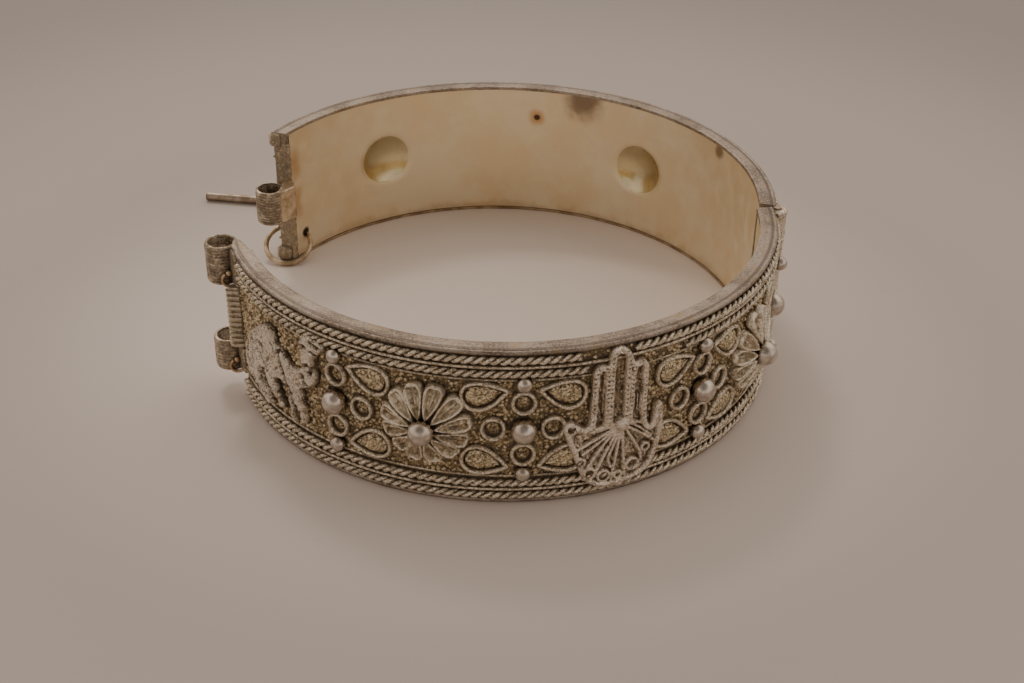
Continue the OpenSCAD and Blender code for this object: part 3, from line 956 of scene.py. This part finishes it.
# %% Maps of heights
def raise_map(half, name, x, y, height, base, material, middle, turn=0.0):
    """Turns a map of heights into a closed piece that stands on the wall.

    Cells whose height is nan are left out. The underside lies at base, inside the wall."""
    inside = ~np.isnan(height)
    cell = inside[:-1, :-1] & inside[1:, :-1] & inside[:-1, 1:] & inside[1:, 1:]
    rows, columns = np.nonzero(cell)
    index = np.arange(x.size).reshape(x.shape)
    top = np.stack([index[rows, columns], index[rows, columns + 1],
                    index[rows + 1, columns + 1], index[rows + 1, columns]], -1)
    edges = np.concatenate([np.stack([top[:, k], top[:, (k + 1) % 4]], -1) for k in range(4)])
    keys = edges[:, 0].astype(np.int64) * x.size + edges[:, 1]
    back = edges[:, 1].astype(np.int64) * x.size + edges[:, 0]
    rim = edges[~np.isin(keys, back)]
    under = top[:, ::-1] + x.size
    skirt = np.stack([rim[:, 1], rim[:, 0], rim[:, 0] + x.size, rim[:, 1] + x.size], -1)
    used, faces = np.unique(np.concatenate([top, under, skirt]), return_inverse=True)
    along = middle[0] + x * math.cos(turn) - y * math.sin(turn)
    up = middle[1] + x * math.sin(turn) + y * math.cos(turn)
    both = [np.concatenate([part.ravel(), part.ravel()])[used] for part in (along, up)]
    out = np.concatenate([np.nan_to_num(height).ravel(), np.full(x.size, base)])[used]
    return new_piece(name, half.bend(*both, out), faces.reshape(-1, 4).tolist(), [material])


def grid(x0, x1, y0, y1, step):
    """Places of a map, as two arrays."""
    xs = np.linspace(x0, x1, int((x1 - x0) / step) + 1)
    ys = np.linspace(y0, y1, int((y1 - y0) / step) + 1)
    return np.meshgrid(xs, ys)


def grainy(x, y, rng, pitch, size):
    """Round grains, close together: how far each place rises."""
    count = int((np.ptp(x) + 1) * (np.ptp(y) + 1) / pitch ** 2)
    px = rng.uniform(x.min(), x.max(), count)
    py = rng.uniform(y.min(), y.max(), count)
    near = np.full(x.shape, 9.0)
    for gx, gy in zip(px, py):
        near = np.minimum(near, np.hypot(x - gx, y - gy))
    return np.sqrt(np.maximum(size ** 2 - near ** 2, 0))


def drop_room(x, y, length, width):
    """1 in the middle of a teardrop, 0 on its outline, less outside."""
    u = np.clip(x / (length / 2), -1, 1)
    span = width / 2 * np.sqrt(1 - u ** 2) * np.maximum((1 - u) / 2, 1e-6) ** 0.55
    inside = 1 - np.abs(y) / np.maximum(span, 1e-3)
    return np.where(np.abs(x) < length / 2, inside * span / (width / 2), -1)


PAD_STEP = 0.085
PAD_BASE = -0.3


def make_pads(half):
    """Granulated pads in every drop and ring of a half."""
    rng = np.random.default_rng(21)
    pads = []
    for s, z, turn in drop_places(half):
        x, y = grid(-1.95, 1.95, -1.3, 1.3, PAD_STEP)
        room = drop_room(x + 0.1, y, 3.75, 3.25)
        height = 0.08 + 0.34 * np.clip(room * 2.8, 0, 1) ** 0.6 + grainy(x, y, rng, 0.27, 0.17)
        height += 0.06 * lumps(x, y, 17 + len(pads), 1.5)
        height = np.where(room > 0.0, height, np.nan)
        pads.append(raise_map(half, "pad", x, y, height, PAD_BASE, PAD, (s, z), turn))
    for s, z in ring_places(half):
        x, y = grid(-0.8, 0.8, -0.8, 0.8, PAD_STEP)
        room = 1 - np.hypot(x, y * 0.93) / 0.74
        height = -0.02 + 0.14 * np.clip(room * 2, 0, 1) ** 0.5 + grainy(x, y, rng, 0.26, 0.12)
        height = np.where(room > 0.0, height, np.nan)
        pads.append(raise_map(half, "pad", x, y, height, PAD_BASE, PAD, (s, z)))
    keep_joined(half, "pads", pads)


for half in HALVES:
    make_pads(half)

# %% [markdown]
# ## Rosettes
# Twelve leaf-shaped petals stand round a ball on a dome. Each petal is a fine grid that is drawn
# out into a leaf, narrow at the ball and wide at the far end. A raised rim follows its edge, at
# the same distance everywhere, so it closes round the far end as bent wire does.

# %% Petals
def petal_tree():
    """A hollow petal on each point, leaning as the point says."""
    bench, given = new_tree("petals", ["Length", "Width", "Rim", "Hollow", "Wear"])
    sheet = bench.geo("MeshGrid", Size_X=1.0, Size_Y=2.0, Vertices_X=32, Vertices_Y=21)
    x, y, z = bench.split(bench.geo("InputPosition"))
    along = bench.maths("MAXIMUM", x + 0.5, 0.0001)
    leaf = along ** 0.7 * bench.maths("SQRT", bench.maths("MAXIMUM", 1 - along ** 5.0, 0.0)) * 0.7
    side = 1 - bench.maths("ABSOLUTE", y)
    inset = bench.maths("MINIMUM", side * leaf * given["Width"], (1 - along) * given["Length"])
    away = (inset - 0.28) / 0.19
    rim = bench.maths("EXPONENT", 0 - away * away) * given["Rim"]
    rib = y / 0.16
    rib = bench.maths("EXPONENT", 0 - rib * rib) * bench.clip(inset, 0.3, 0.5) * 0.14
    body = bench.clip(inset, 0.0, 0.14) * given["Hollow"]
    path = along * along * -0.75 - along * 0.2
    place = bench.join(along * given["Length"], y * leaf * given["Width"], path + rim + rib + body)
    sheet = bench.geo("SetPosition", Geometry=sheet, Position=place)
    petal = thicken(bench, sheet, -1.0, 0.9, 0.002)
    turn, size = [bench.geo("InputNamedAttribute", Name=name) for name in ("turn", "size")]
    petals = copies(bench, given["Geometry"], petal, bench.join(size, 1.0, 1.0),
                    bench.join(0.0, 0.0, turn))
    petals = roughen(bench, petals, given["Wear"], 1.5)
    return close_tree(bench, given, bend_nodes(bench, given, petals))


PETAL_TREE = petal_tree()


def make_petals(half):
    """Twelve petals for each rosette of a half."""
    rng = np.random.default_rng(7)
    places, turns, size = [], [], []
    for angle in ROSETTES[half.name]:
        for k in range(12):
            turn = math.radians(k * 30 + 15)
            places.append((half.along(angle) + 0.9 * math.cos(turn), FIELD + 0.9 * math.sin(turn), 1.2))
            turns.append(turn + rng.uniform(-0.06, 0.06))
            size.append(1 + 0.09 * math.sin(turn) + rng.uniform(-0.04, 0.04))
    shape = {"Length": 3.8, "Width": 2.1, "Rim": 0.6, "Hollow": 0.1, "Wear": 0.2}
    points = point_mesh(places, turn=turns, size=size)
    keep(grow(half.name + "_petals", half, PETAL_TREE, PETAL, shape, points), half)


for half in HALVES:
    make_petals(half)

# %% [markdown]
# ## Hand and camel
# Two flat figures are soldered on the front half, an open hand and a camel. They are drawn as
# maps of heights: an outline, then wires and grooves as lines with a width. That gives crisp
# filigree without hundreds of separate wires.

# %% Drawing on a map of heights
def reach(x, y, line):
    """Distance from every place to a drawn line."""
    best = np.full(x.shape, 99.0)
    for (ax, ay), (bx, by) in zip(line, line[1:]):
        dx, dy = bx - ax, by - ay
        t = np.clip(((x - ax) * dx + (y - ay) * dy) / (dx * dx + dy * dy), 0, 1)
        best = np.minimum(best, np.hypot(x - ax - t * dx, y - ay - t * dy))
    return best


def within(x, y, outline):
    """True inside a closed outline."""
    odd = np.zeros(x.shape, bool)
    for (ax, ay), (bx, by) in zip(outline, outline[1:] + outline[:1]):
        cross = (ay > y) != (by > y)
        odd ^= cross & (x < (bx - ax) * (y - ay) / ((by - ay) or 1e-9) + ax)
    return odd


def inset_of(x, y, outline):
    """Distance from a closed outline, more than 0 inside and less outside."""
    flat = reach(x, y, outline + outline[:1])
    return np.where(within(x, y, outline), flat, -flat)


def round_off(line, closed=False, times=2):
    """Cuts the corners of a drawn line, which rounds them."""
    for _ in range(times):
        cut = []
        for (ax, ay), (bx, by) in zip(line, line[1:] + line[:1] if closed else line[1:]):
            cut.append((0.75 * ax + 0.25 * bx, 0.75 * ay + 0.25 * by))
            cut.append((0.25 * ax + 0.75 * bx, 0.25 * ay + 0.75 * by))
        line = cut if closed else [line[0]] + cut[1:-1] + [line[-1]]
    return line


def wire_rise(distance, radius, top):
    """Height of a round wire's back, or a low number beside it."""
    return np.where(distance < radius,
                    top - radius + np.sqrt(np.maximum(radius ** 2 - distance ** 2, 0)), -9)


FIGURE_BASE = -0.35


def keep_figure(name, x, y, height, material, angle):
    """Stands a figure on the front half and keeps it."""
    middle = (FRONT.along(angle), BAND / 2)
    piece = raise_map(FRONT, "front_" + name, x, y, height, FIGURE_BASE, material, middle)
    keep(piece, FRONT)


# %% The hand
HAND_ANGLE = 77.3
HAND = [
    (-5.6, -0.1), (-5.4, 0.5), (-4.7, 0.8), (-4.1, 0.2), (-2.8, -0.5), (-2.8, 5.8), (-2.5, 6.6),
    (-1.8, 7), (-1.2, 6.6), (-1.1, 7.9), (-0.8, 8.4), (0.1, 8.6), (0.8, 8.2), (1.2, 7.4),
    (1.5, 6.4), (2.4, 6.8), (3, 6.1), (3.1, 4.8), (3.1, -0.8), (3.9, -1.8), (4.1, -0.3),
    (4.3, 0.9), (5, 0.9), (5.1, 0), (5.2, -1.9), (5, -3.7), (4.5, -5.8), (3.4, -7.2), (1.7, -7.7),
    (-0.3, -7.9), (-1.9, -7.7), (-3.1, -6.9), (-3.8, -5.6), (-4.5, -3.4), (-5.2, -1.4)]
HAND_WIRES = [  # a line, its radius and its top
    ([(-2.55, -0.4), (-2.55, 5.6), (-2.2, 6.5), (-1.75, 6.7), (-1.3, 6.3), (-1.2, 5.4),
      (-1.15, -0.3)], 0.3, 0.93),
    ([(-0.8, -0.1), (-0.85, 7.5), (-0.5, 8.15), (0.1, 8.33), (0.65, 7.95), (0.9, 7.2),
      (0.85, -0.1)], 0.31, 0.98),
    ([(1.35, -0.2), (1.45, 5.6), (1.75, 6.25), (2.3, 6.5), (2.75, 6.0), (2.83, 4.8),
      (2.83, -0.6)], 0.28, 0.93),
    ([(-4.9, 0.45), (-3.9, -0.1), (-2.5, -0.65), (-0.4, -0.4)], 0.24, 0.9),
    ([(-4.2, -0.45), (-2.6, -0.95), (-0.4, -0.55)], 0.16, 0.85),
    ([(1.3, -0.5), (2.8, -0.9), (3.9, -1.6)], 0.2, 0.86),
    ([(1.3, -0.6), (2.6, -1.5), (3.9, -2.9)], 0.16, 0.84),
    ([(4.5, 0.75), (4.65, -0.3), (4.75, -1.9)], 0.4, 0.9),
    ([(-1.6, 5.9), (-1.6, 1.2)], 0.12, 0.6)]
HAND_WIRES += [([(x, 2.6), (x, 0.8)], 0.1, 0.66) for x in (2.1, 1.75, 2.45)]
HAND_FINGERS = [line for line, radius, top in HAND_WIRES[:3]]
HAND_RAYS = [
    [(-0.2, -0.7), (-2.0, -1.7), (-4.3, -2.9)], [(-0.1, -0.8), (-1.8, -2.2), (-3.5, -3.4)],
    [(0, -0.9), (-1.6, -2.9), (-3.0, -5.2)], [(0.1, -1), (-1.1, -3.6), (-2.2, -6.3)],
    [(0.3, -1.1), (-0.4, -3.2), (-0.9, -4.4), (-0.5, -5.5)],
    [(0.4, -1.1), (0.0, -4.5), (-0.4, -7.3)], [(0.6, -1.1), (0.8, -4.0), (1.1, -6.9)],
    [(0.8, -1.0), (1.9, -2.9), (2.7, -4.4), (2.9, -5.6)], [(1.0, -0.9), (2.4, -2.0), (4.3, -3.6)]]
HAND_CIRCLES = [(-2.75, -5.9, 0.6), (-1.2, -6.5, 0.62), (-3.75, -4.4, 0.52), (1.9, -5.8, 0.66),
                (-4.75, -0.15, 0.55), (3.3, -4.1, 0.42), (0.35, -6.7, 0.4)]
BOSS = 0.78  # radius of the round boss in the palm
NOTCH = 0.5  # from one notch of a finger's wire to the next


def make_hand():
    """The open hand with its fan of wires."""
    x, y = grid(-5.9, 5.5, -8.2, 8.9, 0.08)
    inset = inset_of(x, y, round_off(HAND, True))
    palm = np.hypot(x - 0.5, y + 0.45)
    notched = np.cos(y * 2 * math.pi / NOTCH) > 0.1
    height = np.where(y > -0.3, 0.25, 0.38) + 0.07 * lumps(x, y, 31, 0.7)
    height = np.maximum(height, wire_rise(np.abs(inset - 0.3), 0.34, 0.98))
    height += grainy(x, y, np.random.default_rng(5), 0.4, 0.16) * (inset > 0.3)
    for line, radius, top in HAND_WIRES:
        height = np.maximum(height, wire_rise(reach(x, y, round_off(line)), radius, top))
    for line in HAND_RAYS:
        height = np.maximum(height, wire_rise(reach(x, y, round_off(line, times=1)), 0.19, 0.88))
    for cx, cy, radius in HAND_CIRCLES:
        turns = np.linspace(0, 2 * math.pi, 15)
        ring = [(cx + radius * math.cos(a), cy + radius * math.sin(a)) for a in turns]
        height = np.maximum(height, wire_rise(reach(x, y, ring), 0.19, 0.9))
        height = np.where(np.hypot(x - cx, y - cy) < radius - 0.17, 0.4, height)
    for line in HAND_FINGERS:
        height -= 0.22 * np.exp(-(reach(x, y, line) / 0.11) ** 2) * notched
    height += 0.035 * lumps(x, y, 33, 0.5) * (height > 0.5)
    height = np.maximum(height, wire_rise(palm, BOSS, 1.5))
    edge = np.clip(inset + 0.12, 0.05, 1) ** 0.5 * 2.2
    height = np.where(inset > -0.05, np.minimum(height, edge), -0.25)
    height = np.where(palm < BOSS, wire_rise(palm, BOSS, 1.45), height)
    keep_figure("hand", x, y, np.where(inset > -0.14, height, np.nan), LACE, HAND_ANGLE)


make_hand()

# %% The camel
CAMEL_ANGLE = 148.4
CAMEL = [
    (7.7, 5.8), (7.3, 6.3), (6.4, 6.3), (5.9, 6.7), (4.7, 6.5), (4.1, 5.7), (4.5, 5.4), (4.4, 2.5),
    (3.9, 1.7), (2.9, 1.5), (2.1, 2), (1.4, 2.7), (0.5, 2.9), (-0.3, 4.7), (-1.5, 4.8),
    (-3.4, 3.6), (-5.2, 2), (-6.4, 0), (-6.9, -2), (-6.2, -3.2), (-4.5, -4.1), (-2.9, -4.7),
    (-1.7, -5.3), (-1, -4.7), (-1.9, -3.8), (-3, -2.6), (-3.5, -1.4), (-2.6, -1), (-1.7, -2.1),
    (-0.4, -3.4), (0.5, -4.6), (1.3, -4), (0.4, -2.7), (-0.8, -1.4), (0.8, -0.7), (2, -0.9),
    (2.3, -2.6), (2.4, -5.1), (3.1, -5), (3.2, -2.3), (3.7, -3.8), (4, -4.8), (4.7, -4.4),
    (4.1, -1.2), (4.1, -0.3), (5.7, 0.5), (6.3, 1.2), (6.5, 2.2), (5.9, 2.9), (6.3, 4.4), (7.1, 5)]
CAMEL_GROOVES = [  # a line, its width and its depth
    ([(-4.4, 1.45), (-3.45, 0.9), (-2.35, 0.1), (-1.45, -0.85)], 0.3, 0.6),
    ([(0.75, 2.6), (1.3, 1.2), (1.9, -0.35), (2.5, -1.3), (2.95, -2.95), (3.0, -4.5)], 0.17, 0.5),
    ([(-2.85, 2.05), (-2.1, 2.0)], 0.2, 0.35),
    ([(-5.95, -1.45), (-4.9, -2.75), (-3.6, -4.25)], 0.17, 0.35),
    ([(-4.2, -1.2), (-3.2, -2.8), (-2.3, -4.3)], 0.2, 0.5),
    ([(4.4, 1.25), (4.6, 1.4)], 0.25, 0.5),
    ([(5.5, 2.2), (5.8, 2.3)], 0.22, 0.4),
    ([(4.8, 0.85), (5.2, 0.6)], 0.2, 0.35),
    ([(4.85, 5.1), (5.05, 5.15)], 0.22, 0.5),
    ([(4.4, 5.85), (4.6, 5.85)], 0.18, 0.4),
    ([(6.1, 4.95), (7.3, 4.5)], 0.15, 0.35),
    ([(4.3, 2.5), (5.3, 3.1), (6.2, 2.7)], 0.18, 0.4),
    ([(6.0, 6.0), (7.0, 5.7)], 0.16, 0.3),
    ([(-5.4, 1.0), (-5.9, -0.6)], 0.15, 0.25),
    ([(-0.6, 3.6), (0.1, 2.5)], 0.14, 0.22)]


def make_camel():
    """The camel: a plain plate with rounded edges and a few cut lines."""
    x, y = grid(-7.3, 8.1, -5.7, 7.1, 0.085)
    inset = inset_of(x, y, round_off(CAMEL, True))
    height = 0.93 * np.sqrt(np.clip((inset + 0.12) / 0.3, 0.02, 1))
    for line, width, depth in CAMEL_GROOVES:
        distance = reach(x, y, line)
        height -= 1.9 * depth * np.exp(-(distance / width) ** 2)
        height += 0.07 * np.exp(-((distance - 1.7 * width) / width) ** 2)
    height += 0.08 * lumps(x, y, 41, 1.9) + 0.03 * lumps(x, y, 42, 0.5)
    height -= 0.35 * np.clip(lumps(x, y, 43, 1.3) - 0.5, 0, 0.6)
    height = np.maximum(height, 0.12)
    eye = np.hypot(x - 6.1, y - 5.7)
    height -= 0.2 * np.exp(-(eye / 0.18) ** 2)
    keep_figure("camel", x, y, np.where(inset > -0.13, height, np.nan), FIGURE, CAMEL_ANGLE)


make_camel()

# %% [markdown]
# ## Grains
# The ground between the ornaments is covered with tiny grains. Their places are shaken off a
# regular pattern and kept only where there is room, and a tree sets a small lump on each.

# %% Grains
def grain_tree():
    """A small lump on each point."""
    bench, given = new_tree("grains", [])
    turn, size = [bench.geo("InputNamedAttribute", Name=name) for name in ("turn", "size")]
    lump = bench.geo("MeshIcoSphere", Radius=1.0, Subdivisions=1)
    grains = copies(bench, given["Geometry"], lump, bench.join(size, size, size),
                    bench.join(turn, turn * 1.7, turn * 2.3))
    return close_tree(bench, given, bend_nodes(bench, given, grains))


GRAIN_TREE = grain_tree()
PITCH = 0.42  # from one grain of the regular pattern to the next
ROPE_GAPS = [  # bare ground where the hand breaks a rope: two ways down from the rim, two angles
    (3.5, 2.0, 83.2, 62.8), (1.6, 0.0, 84.5, 74.6)]


def make_grains(half):
    """Scatters grains over the open ground of a half."""
    rng = np.random.default_rng(12)
    first, last = half.ends(half.outer)
    start, end = sorted([half.along(first + 0.8), half.along(last - 0.8)])
    s, z = np.meshgrid(np.arange(start, end, PITCH), np.arange(3.55, BAND - 0.7, PITCH * 0.87))
    s[1::2] += PITCH / 2
    s = (s + rng.uniform(-0.2, 0.2, s.shape)).ravel()
    z = (z + rng.uniform(-0.2, 0.2, z.shape)).ravel()
    free = (z < BAND - 3.5) & (dome_height(half, s, z) < 0.8)
    if half is FRONT:
        for low, high, left, right in ROPE_GAPS:
            gap = (s > half.along(left)) & (s < half.along(right))
            free |= gap & (z > BAND - low) & (z < BAND - high)
        free &= ~within(s - half.along(HAND_ANGLE), z - BAND / 2, HAND)
        free &= ~within(s - half.along(CAMEL_ANGLE), z - BAND / 2, CAMEL)
    for along, height, out, size in ball_places(half):
        free &= np.hypot(s - along, z - height) > size * 0.9
    for along, height in ring_places(half):
        free &= np.hypot(s - along, z - height) > 1.38
    for along, height, turn in drop_places(half):
        x = (s - along) * math.cos(turn) + (z - height) * math.sin(turn)
        y = (z - height) * math.cos(turn) - (s - along) * math.sin(turn)
        free &= drop_room(x, y, 5.1, 4.4) < 0.02
    s, z = s[free], z[free]
    size = rng.uniform(0.2, 0.36, s.size)
    out = ground_height(half, s, z) + rng.uniform(-0.17, 0.0, s.size)
    points = point_mesh(np.stack([s, z, out], -1), size=size, turn=rng.uniform(0, 6, s.size))
    keep(grow(half.name + "_grains", half, GRAIN_TREE, GRAIN, {}, points), half)


for half in HALVES:
    make_grains(half)

# %% [markdown]
# ## Clasp and hinge
# The clasp is three rolled tubes that a pin passes through: one on the back half and two on the
# front. Each has weak ribs and a tab that runs into the end of its half, and the front's two have
# a small curl at the foot. The hinge barrels at the other end are plainer.

# %% Turned parts
def lathe(name, x, y, outline, material, steps=36):
    """Turns a closed outline of radius and height round a standing axis."""
    turn = np.linspace(0, 2 * math.pi, steps, endpoint=False)[:, None]
    radius, height = np.array(outline).T
    place = np.stack([x + radius * np.cos(turn), y + radius * np.sin(turn), height + 0 * turn], -1) * MM
    index = np.arange(turn.size * radius.size).reshape(turn.size, radius.size)
    faces = ring_faces(index, np.roll(index, -1, 0))
    return new_piece(name, place, faces.tolist(), [material])


def coil_tree():
    """A wire wound round a standing tube."""
    bench, given = new_tree("coil", ["X", "Y", "Z", "Radius", "Wire", "Rise", "Turns"])
    line = bench.geo("CurveSpiral", Resolution=34, Rotations=given["Turns"],
                     Start_Radius=given["Radius"], End_Radius=given["Radius"], Height=given["Rise"])
    wire = bench.geo("CurvePrimitiveCircle", Resolution=6, Radius=given["Wire"])
    coil = bench.geo("CurveToMesh", Curve=line, Profile_Curve=wire, Fill_Caps=True)
    coil = roughen(bench, coil, 0.06, 2.0)
    middle = bench.join(given["X"] * MM, given["Y"] * MM, given["Z"] * MM)
    coil = bench.geo("Transform", Geometry=coil, Translation=middle, Scale=(MM, MM, MM))
    return close_tree(bench, given, coil)


COIL_TREE = coil_tree()


def prism(name, half, outline, z0, z1, material, round_by=0.1):
    """A block with rounded edges, its outline drawn in a half's own drawing."""
    count = len(outline)
    corners = [half.place(x, y) for x, y in outline]
    places = np.array([(*corner, z) for z in (z0, z1) for corner in corners]) * MM
    faces = [list(range(count))[::-1], list(range(count, 2 * count))]
    faces += [[k, (k + 1) % count, (k + 1) % count + count, k + count] for k in range(count)]
    if half.side < 0:
        faces = [face[::-1] for face in faces]
    piece = new_piece(name, places, faces, [material])
    bevel = piece.modifiers.new("bevel", "BEVEL")
    bevel.width = round_by * MM
    bevel.segments = 2
    piece.data = plain_mesh(piece)
    return piece


# %% Clasp knuckles
RIB = 0.38  # from one rib of a tube to the next
WEB = [(-30.3, 1.3), (-29.95, 2.3), (-29.6, 3.1), (-28.2, 3.1), (-28.2, 1.3)]
TAB = [(-29.65, -0.95), (-28.95, -0.1), (-28.2, 1.5), (-27.8, 2.8), (-29.35, 2.8), (-29.95, 1.35)]


def clasp_silver():
    """The rolled tubes: grey-brown, ribbed and dirty."""
    bench, place = start_material("clasp_silver")
    grime = bench.noise(place, 1.1, 4, 0.65)
    fine = bench.noise(place, 3.2, 5, 0.75)
    wave = bench.split(place)[2] * (2 * math.pi / RIB) + grime * 9
    rib = bench.maths("SINE", wave) * 0.5 + 0.5
    worn = open_sky(bench, 0.8) * 0.85 + (rib - 0.5) * 0.15 + (grime - 0.5) * 1.8 + (fine - 0.5) * 1.6
    dark = bench.clip(worn, 0.2, 0.75)
    light = bench.clip(worn, 0.7, 1.2)
    tone = bench.mix(light, (0.36, 0.285, 0.20), (0.68, 0.59, 0.46))
    tone = bench.mix(dark, (0.12, 0.10, 0.08), tone)
    return finish(bench, tone, 0.6 - light * 0.3, 0.5 + 0.5 * dark, rib * 0.6 + fine * 0.4, 0.14)


PATINA = clasp_silver()


def make_curl(x, y, z, size=0.78, wire=0.19):
    """A small loop of gold wire on the foot of a front tube, open at its top."""
    turn, around = np.meshgrid(np.linspace(-3.6, 1.0, 25), np.linspace(0, 2 * math.pi, 9)[:-1],
                               indexing="ij")
    span = size + wire * np.cos(around)
    x, y = FRONT.place(x - span * np.cos(turn), y + wire * np.sin(around))
    places = np.stack([x, y, z + span * np.sin(turn)], -1) * MM
    index = np.arange(turn.size).reshape(turn.shape)
    faces = ring_faces(index[:-1], index[1:])[:, [0, 3, 2, 1]].tolist()
    faces += [index[0, ::-1].tolist(), index[-1].tolist()]
    return new_piece("curl", places, faces, [GOLD])


def make_knuckle(half, z0, z1, label, material):
    """A rolled tube with weak ribs, and the tab that joins it to its half."""
    x, y = half.place(-SPAN / 2, 0)
    tube = [(1.45, z0), (1.45, z1), (1.55, z1), (1.7, z1 - 0.05), (1.74, z1 - 0.15),
            (1.74, z0 + 0.15), (1.7, z0 + 0.05), (1.55, z0)]
    sleeve = [(1.37, z0 + 0.1), (1.37, z1 - 0.3), (1.5, z1 - 0.3), (1.5, z0 + 0.1)]
    turn = np.linspace(-math.pi / 2, math.pi / 2, 9)
    bead = np.stack([0.01 + 0.33 * np.cos(turn), z0 + 1.55 + 0.33 * np.sin(turn)], -1)
    shift = half.inner - FRONT.inner
    tab = [(a - shift * (b > 2), b) for a, b in TAB]
    wire, rise = 0.1, z1 - z0 - 0.5
    coil = {"X": x, "Y": y, "Z": z0 + 0.2, "Radius": 1.8 - wire, "Wire": wire, "Rise": rise,
            "Turns": rise / RIB}
    parts = [lathe("tube", x, y, tube, PATINA), lathe("sleeve", x, y, sleeve, FIGURE),
             grow("coil", half, COIL_TREE, PATINA, coil),
             prism("tab", half, tab, z0 + 0.05, z1 - 0.02, material, 0.15),
             lathe("bead", *half.place(-30.4, 1.9), bead, GOLD, 14)]
    if half is FRONT:
        parts += [prism("web", half, WEB, z0 + 0.3, z1 - 0.25, PATINA, 0.15),
                  make_curl(-30.35, 1.9, z0 + 0.75)]
    keep_joined(half, "knuckle_" + label, parts)


make_knuckle(BACK, 7.2, 11.6, "middle", PALE_GILT)
make_knuckle(FRONT, 13.4, 17.9, "upper", RIM)
make_knuckle(FRONT, 2.5, 6.3, "lower", PATINA)


# %% The ribbed end between the knuckles
def make_ladder():
    """A ribbed strip at the clasp end of the front half, between its two knuckles."""
    strip = [(-28.5, 2.9), (-29.5, 2.95), (-30.6, 2.7), (-30.65, 2.3), (-30.1, 1.95), (-29.6, 1.65),
             (-28.9, 1.5)]
    rung = [(-28.8, 2.7), (-29.5, 3.2), (-30.8, 2.95), (-30.95, 2.3), (-30.2, 1.85), (-29.0, 1.6)]
    parts = [prism("strip", FRONT, strip, 6.1, 13.6, END)]
    for z in 6.55 + 0.66 * np.arange(11):
        parts.append(prism("rung", FRONT, rung, z - 0.17, z + 0.17, END, 0.08))
    keep_joined(FRONT, "ladder", parts)


make_ladder()


# %% The worn end of the back half
def make_seam():
    """The dark, ragged seam down the end face of the back half, with its lip and torn foot."""
    parts = []
    rng = np.random.default_rng(4)
    for z0, z1, radius in ((0.5, 6.6, 0.42), (12.2, 16.6, 0.3)):
        line = [(radius * rng.uniform(0.75, 1.1), z) for z in np.linspace(z0, z1, 18)]
        line = [(0.05, z0 - 0.1)] + line + [(0.05, z1 + 0.1)]
        parts.append(lathe("seam", *BACK.place(-29.3, 2.6), line[::-1], END, 14))
    lip = [(-31.7, 3.4), (-31.8, 2.4), (-31.2, 2.1), (-30.2, 2.3), (-30.2, 3.2)]
    torn = [(-31.9, 3.3), (-31.7, 2.3), (-30.6, 1.9), (-29.5, 2.1), (-29.6, 3.0)]
    parts.append(prism("lip", BACK, lip, 16.2, 17.9, END, 0.35))
    parts.append(prism("torn", BACK, torn, 0.5, 2.2, END, 0.3))
    keep_joined(BACK, "seam", parts)


make_seam()

# %% Hinge barrels
BARREL_STEP = 3.5


def make_barrels(half, first):
    """Every second barrel of the hinge."""
    parts = []
    for k in range(first, 5, 2):
        z0 = 0.4 + k * BARREL_STEP
        z1 = z0 + BARREL_STEP - 0.2
        line = [(0.5, z0), (0.5, z1), (1.05, z1), (1.2, z1 - 0.12), (1.2, z1 - 0.5), (1.14, z1 - 0.6),
                (1.14, z0 + 0.6), (1.2, z0 + 0.5), (1.2, z0 + 0.12), (1.05, z0)]
        parts.append(lathe("barrel", HINGE_X, 0, line, WIRE, 28))
    keep_joined(half, "barrels", parts)


make_barrels(BACK, 0)
make_barrels(FRONT, 1)

# %% [markdown]
# ## Plain parts
# The hinge pin, the safety ring, the chain and the clasp pin are plain wire. The CAD model
# already has their shape, so they stay and only get a finish.

# %% Finish of the plain parts
for name in ("hinge_pin", "safety_ring", "safety_chain", "clasp_pin"):
    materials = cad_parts[name].data.materials
    materials.clear()
    materials.append(PALE_GILT if name == "safety_ring" else PLAIN)
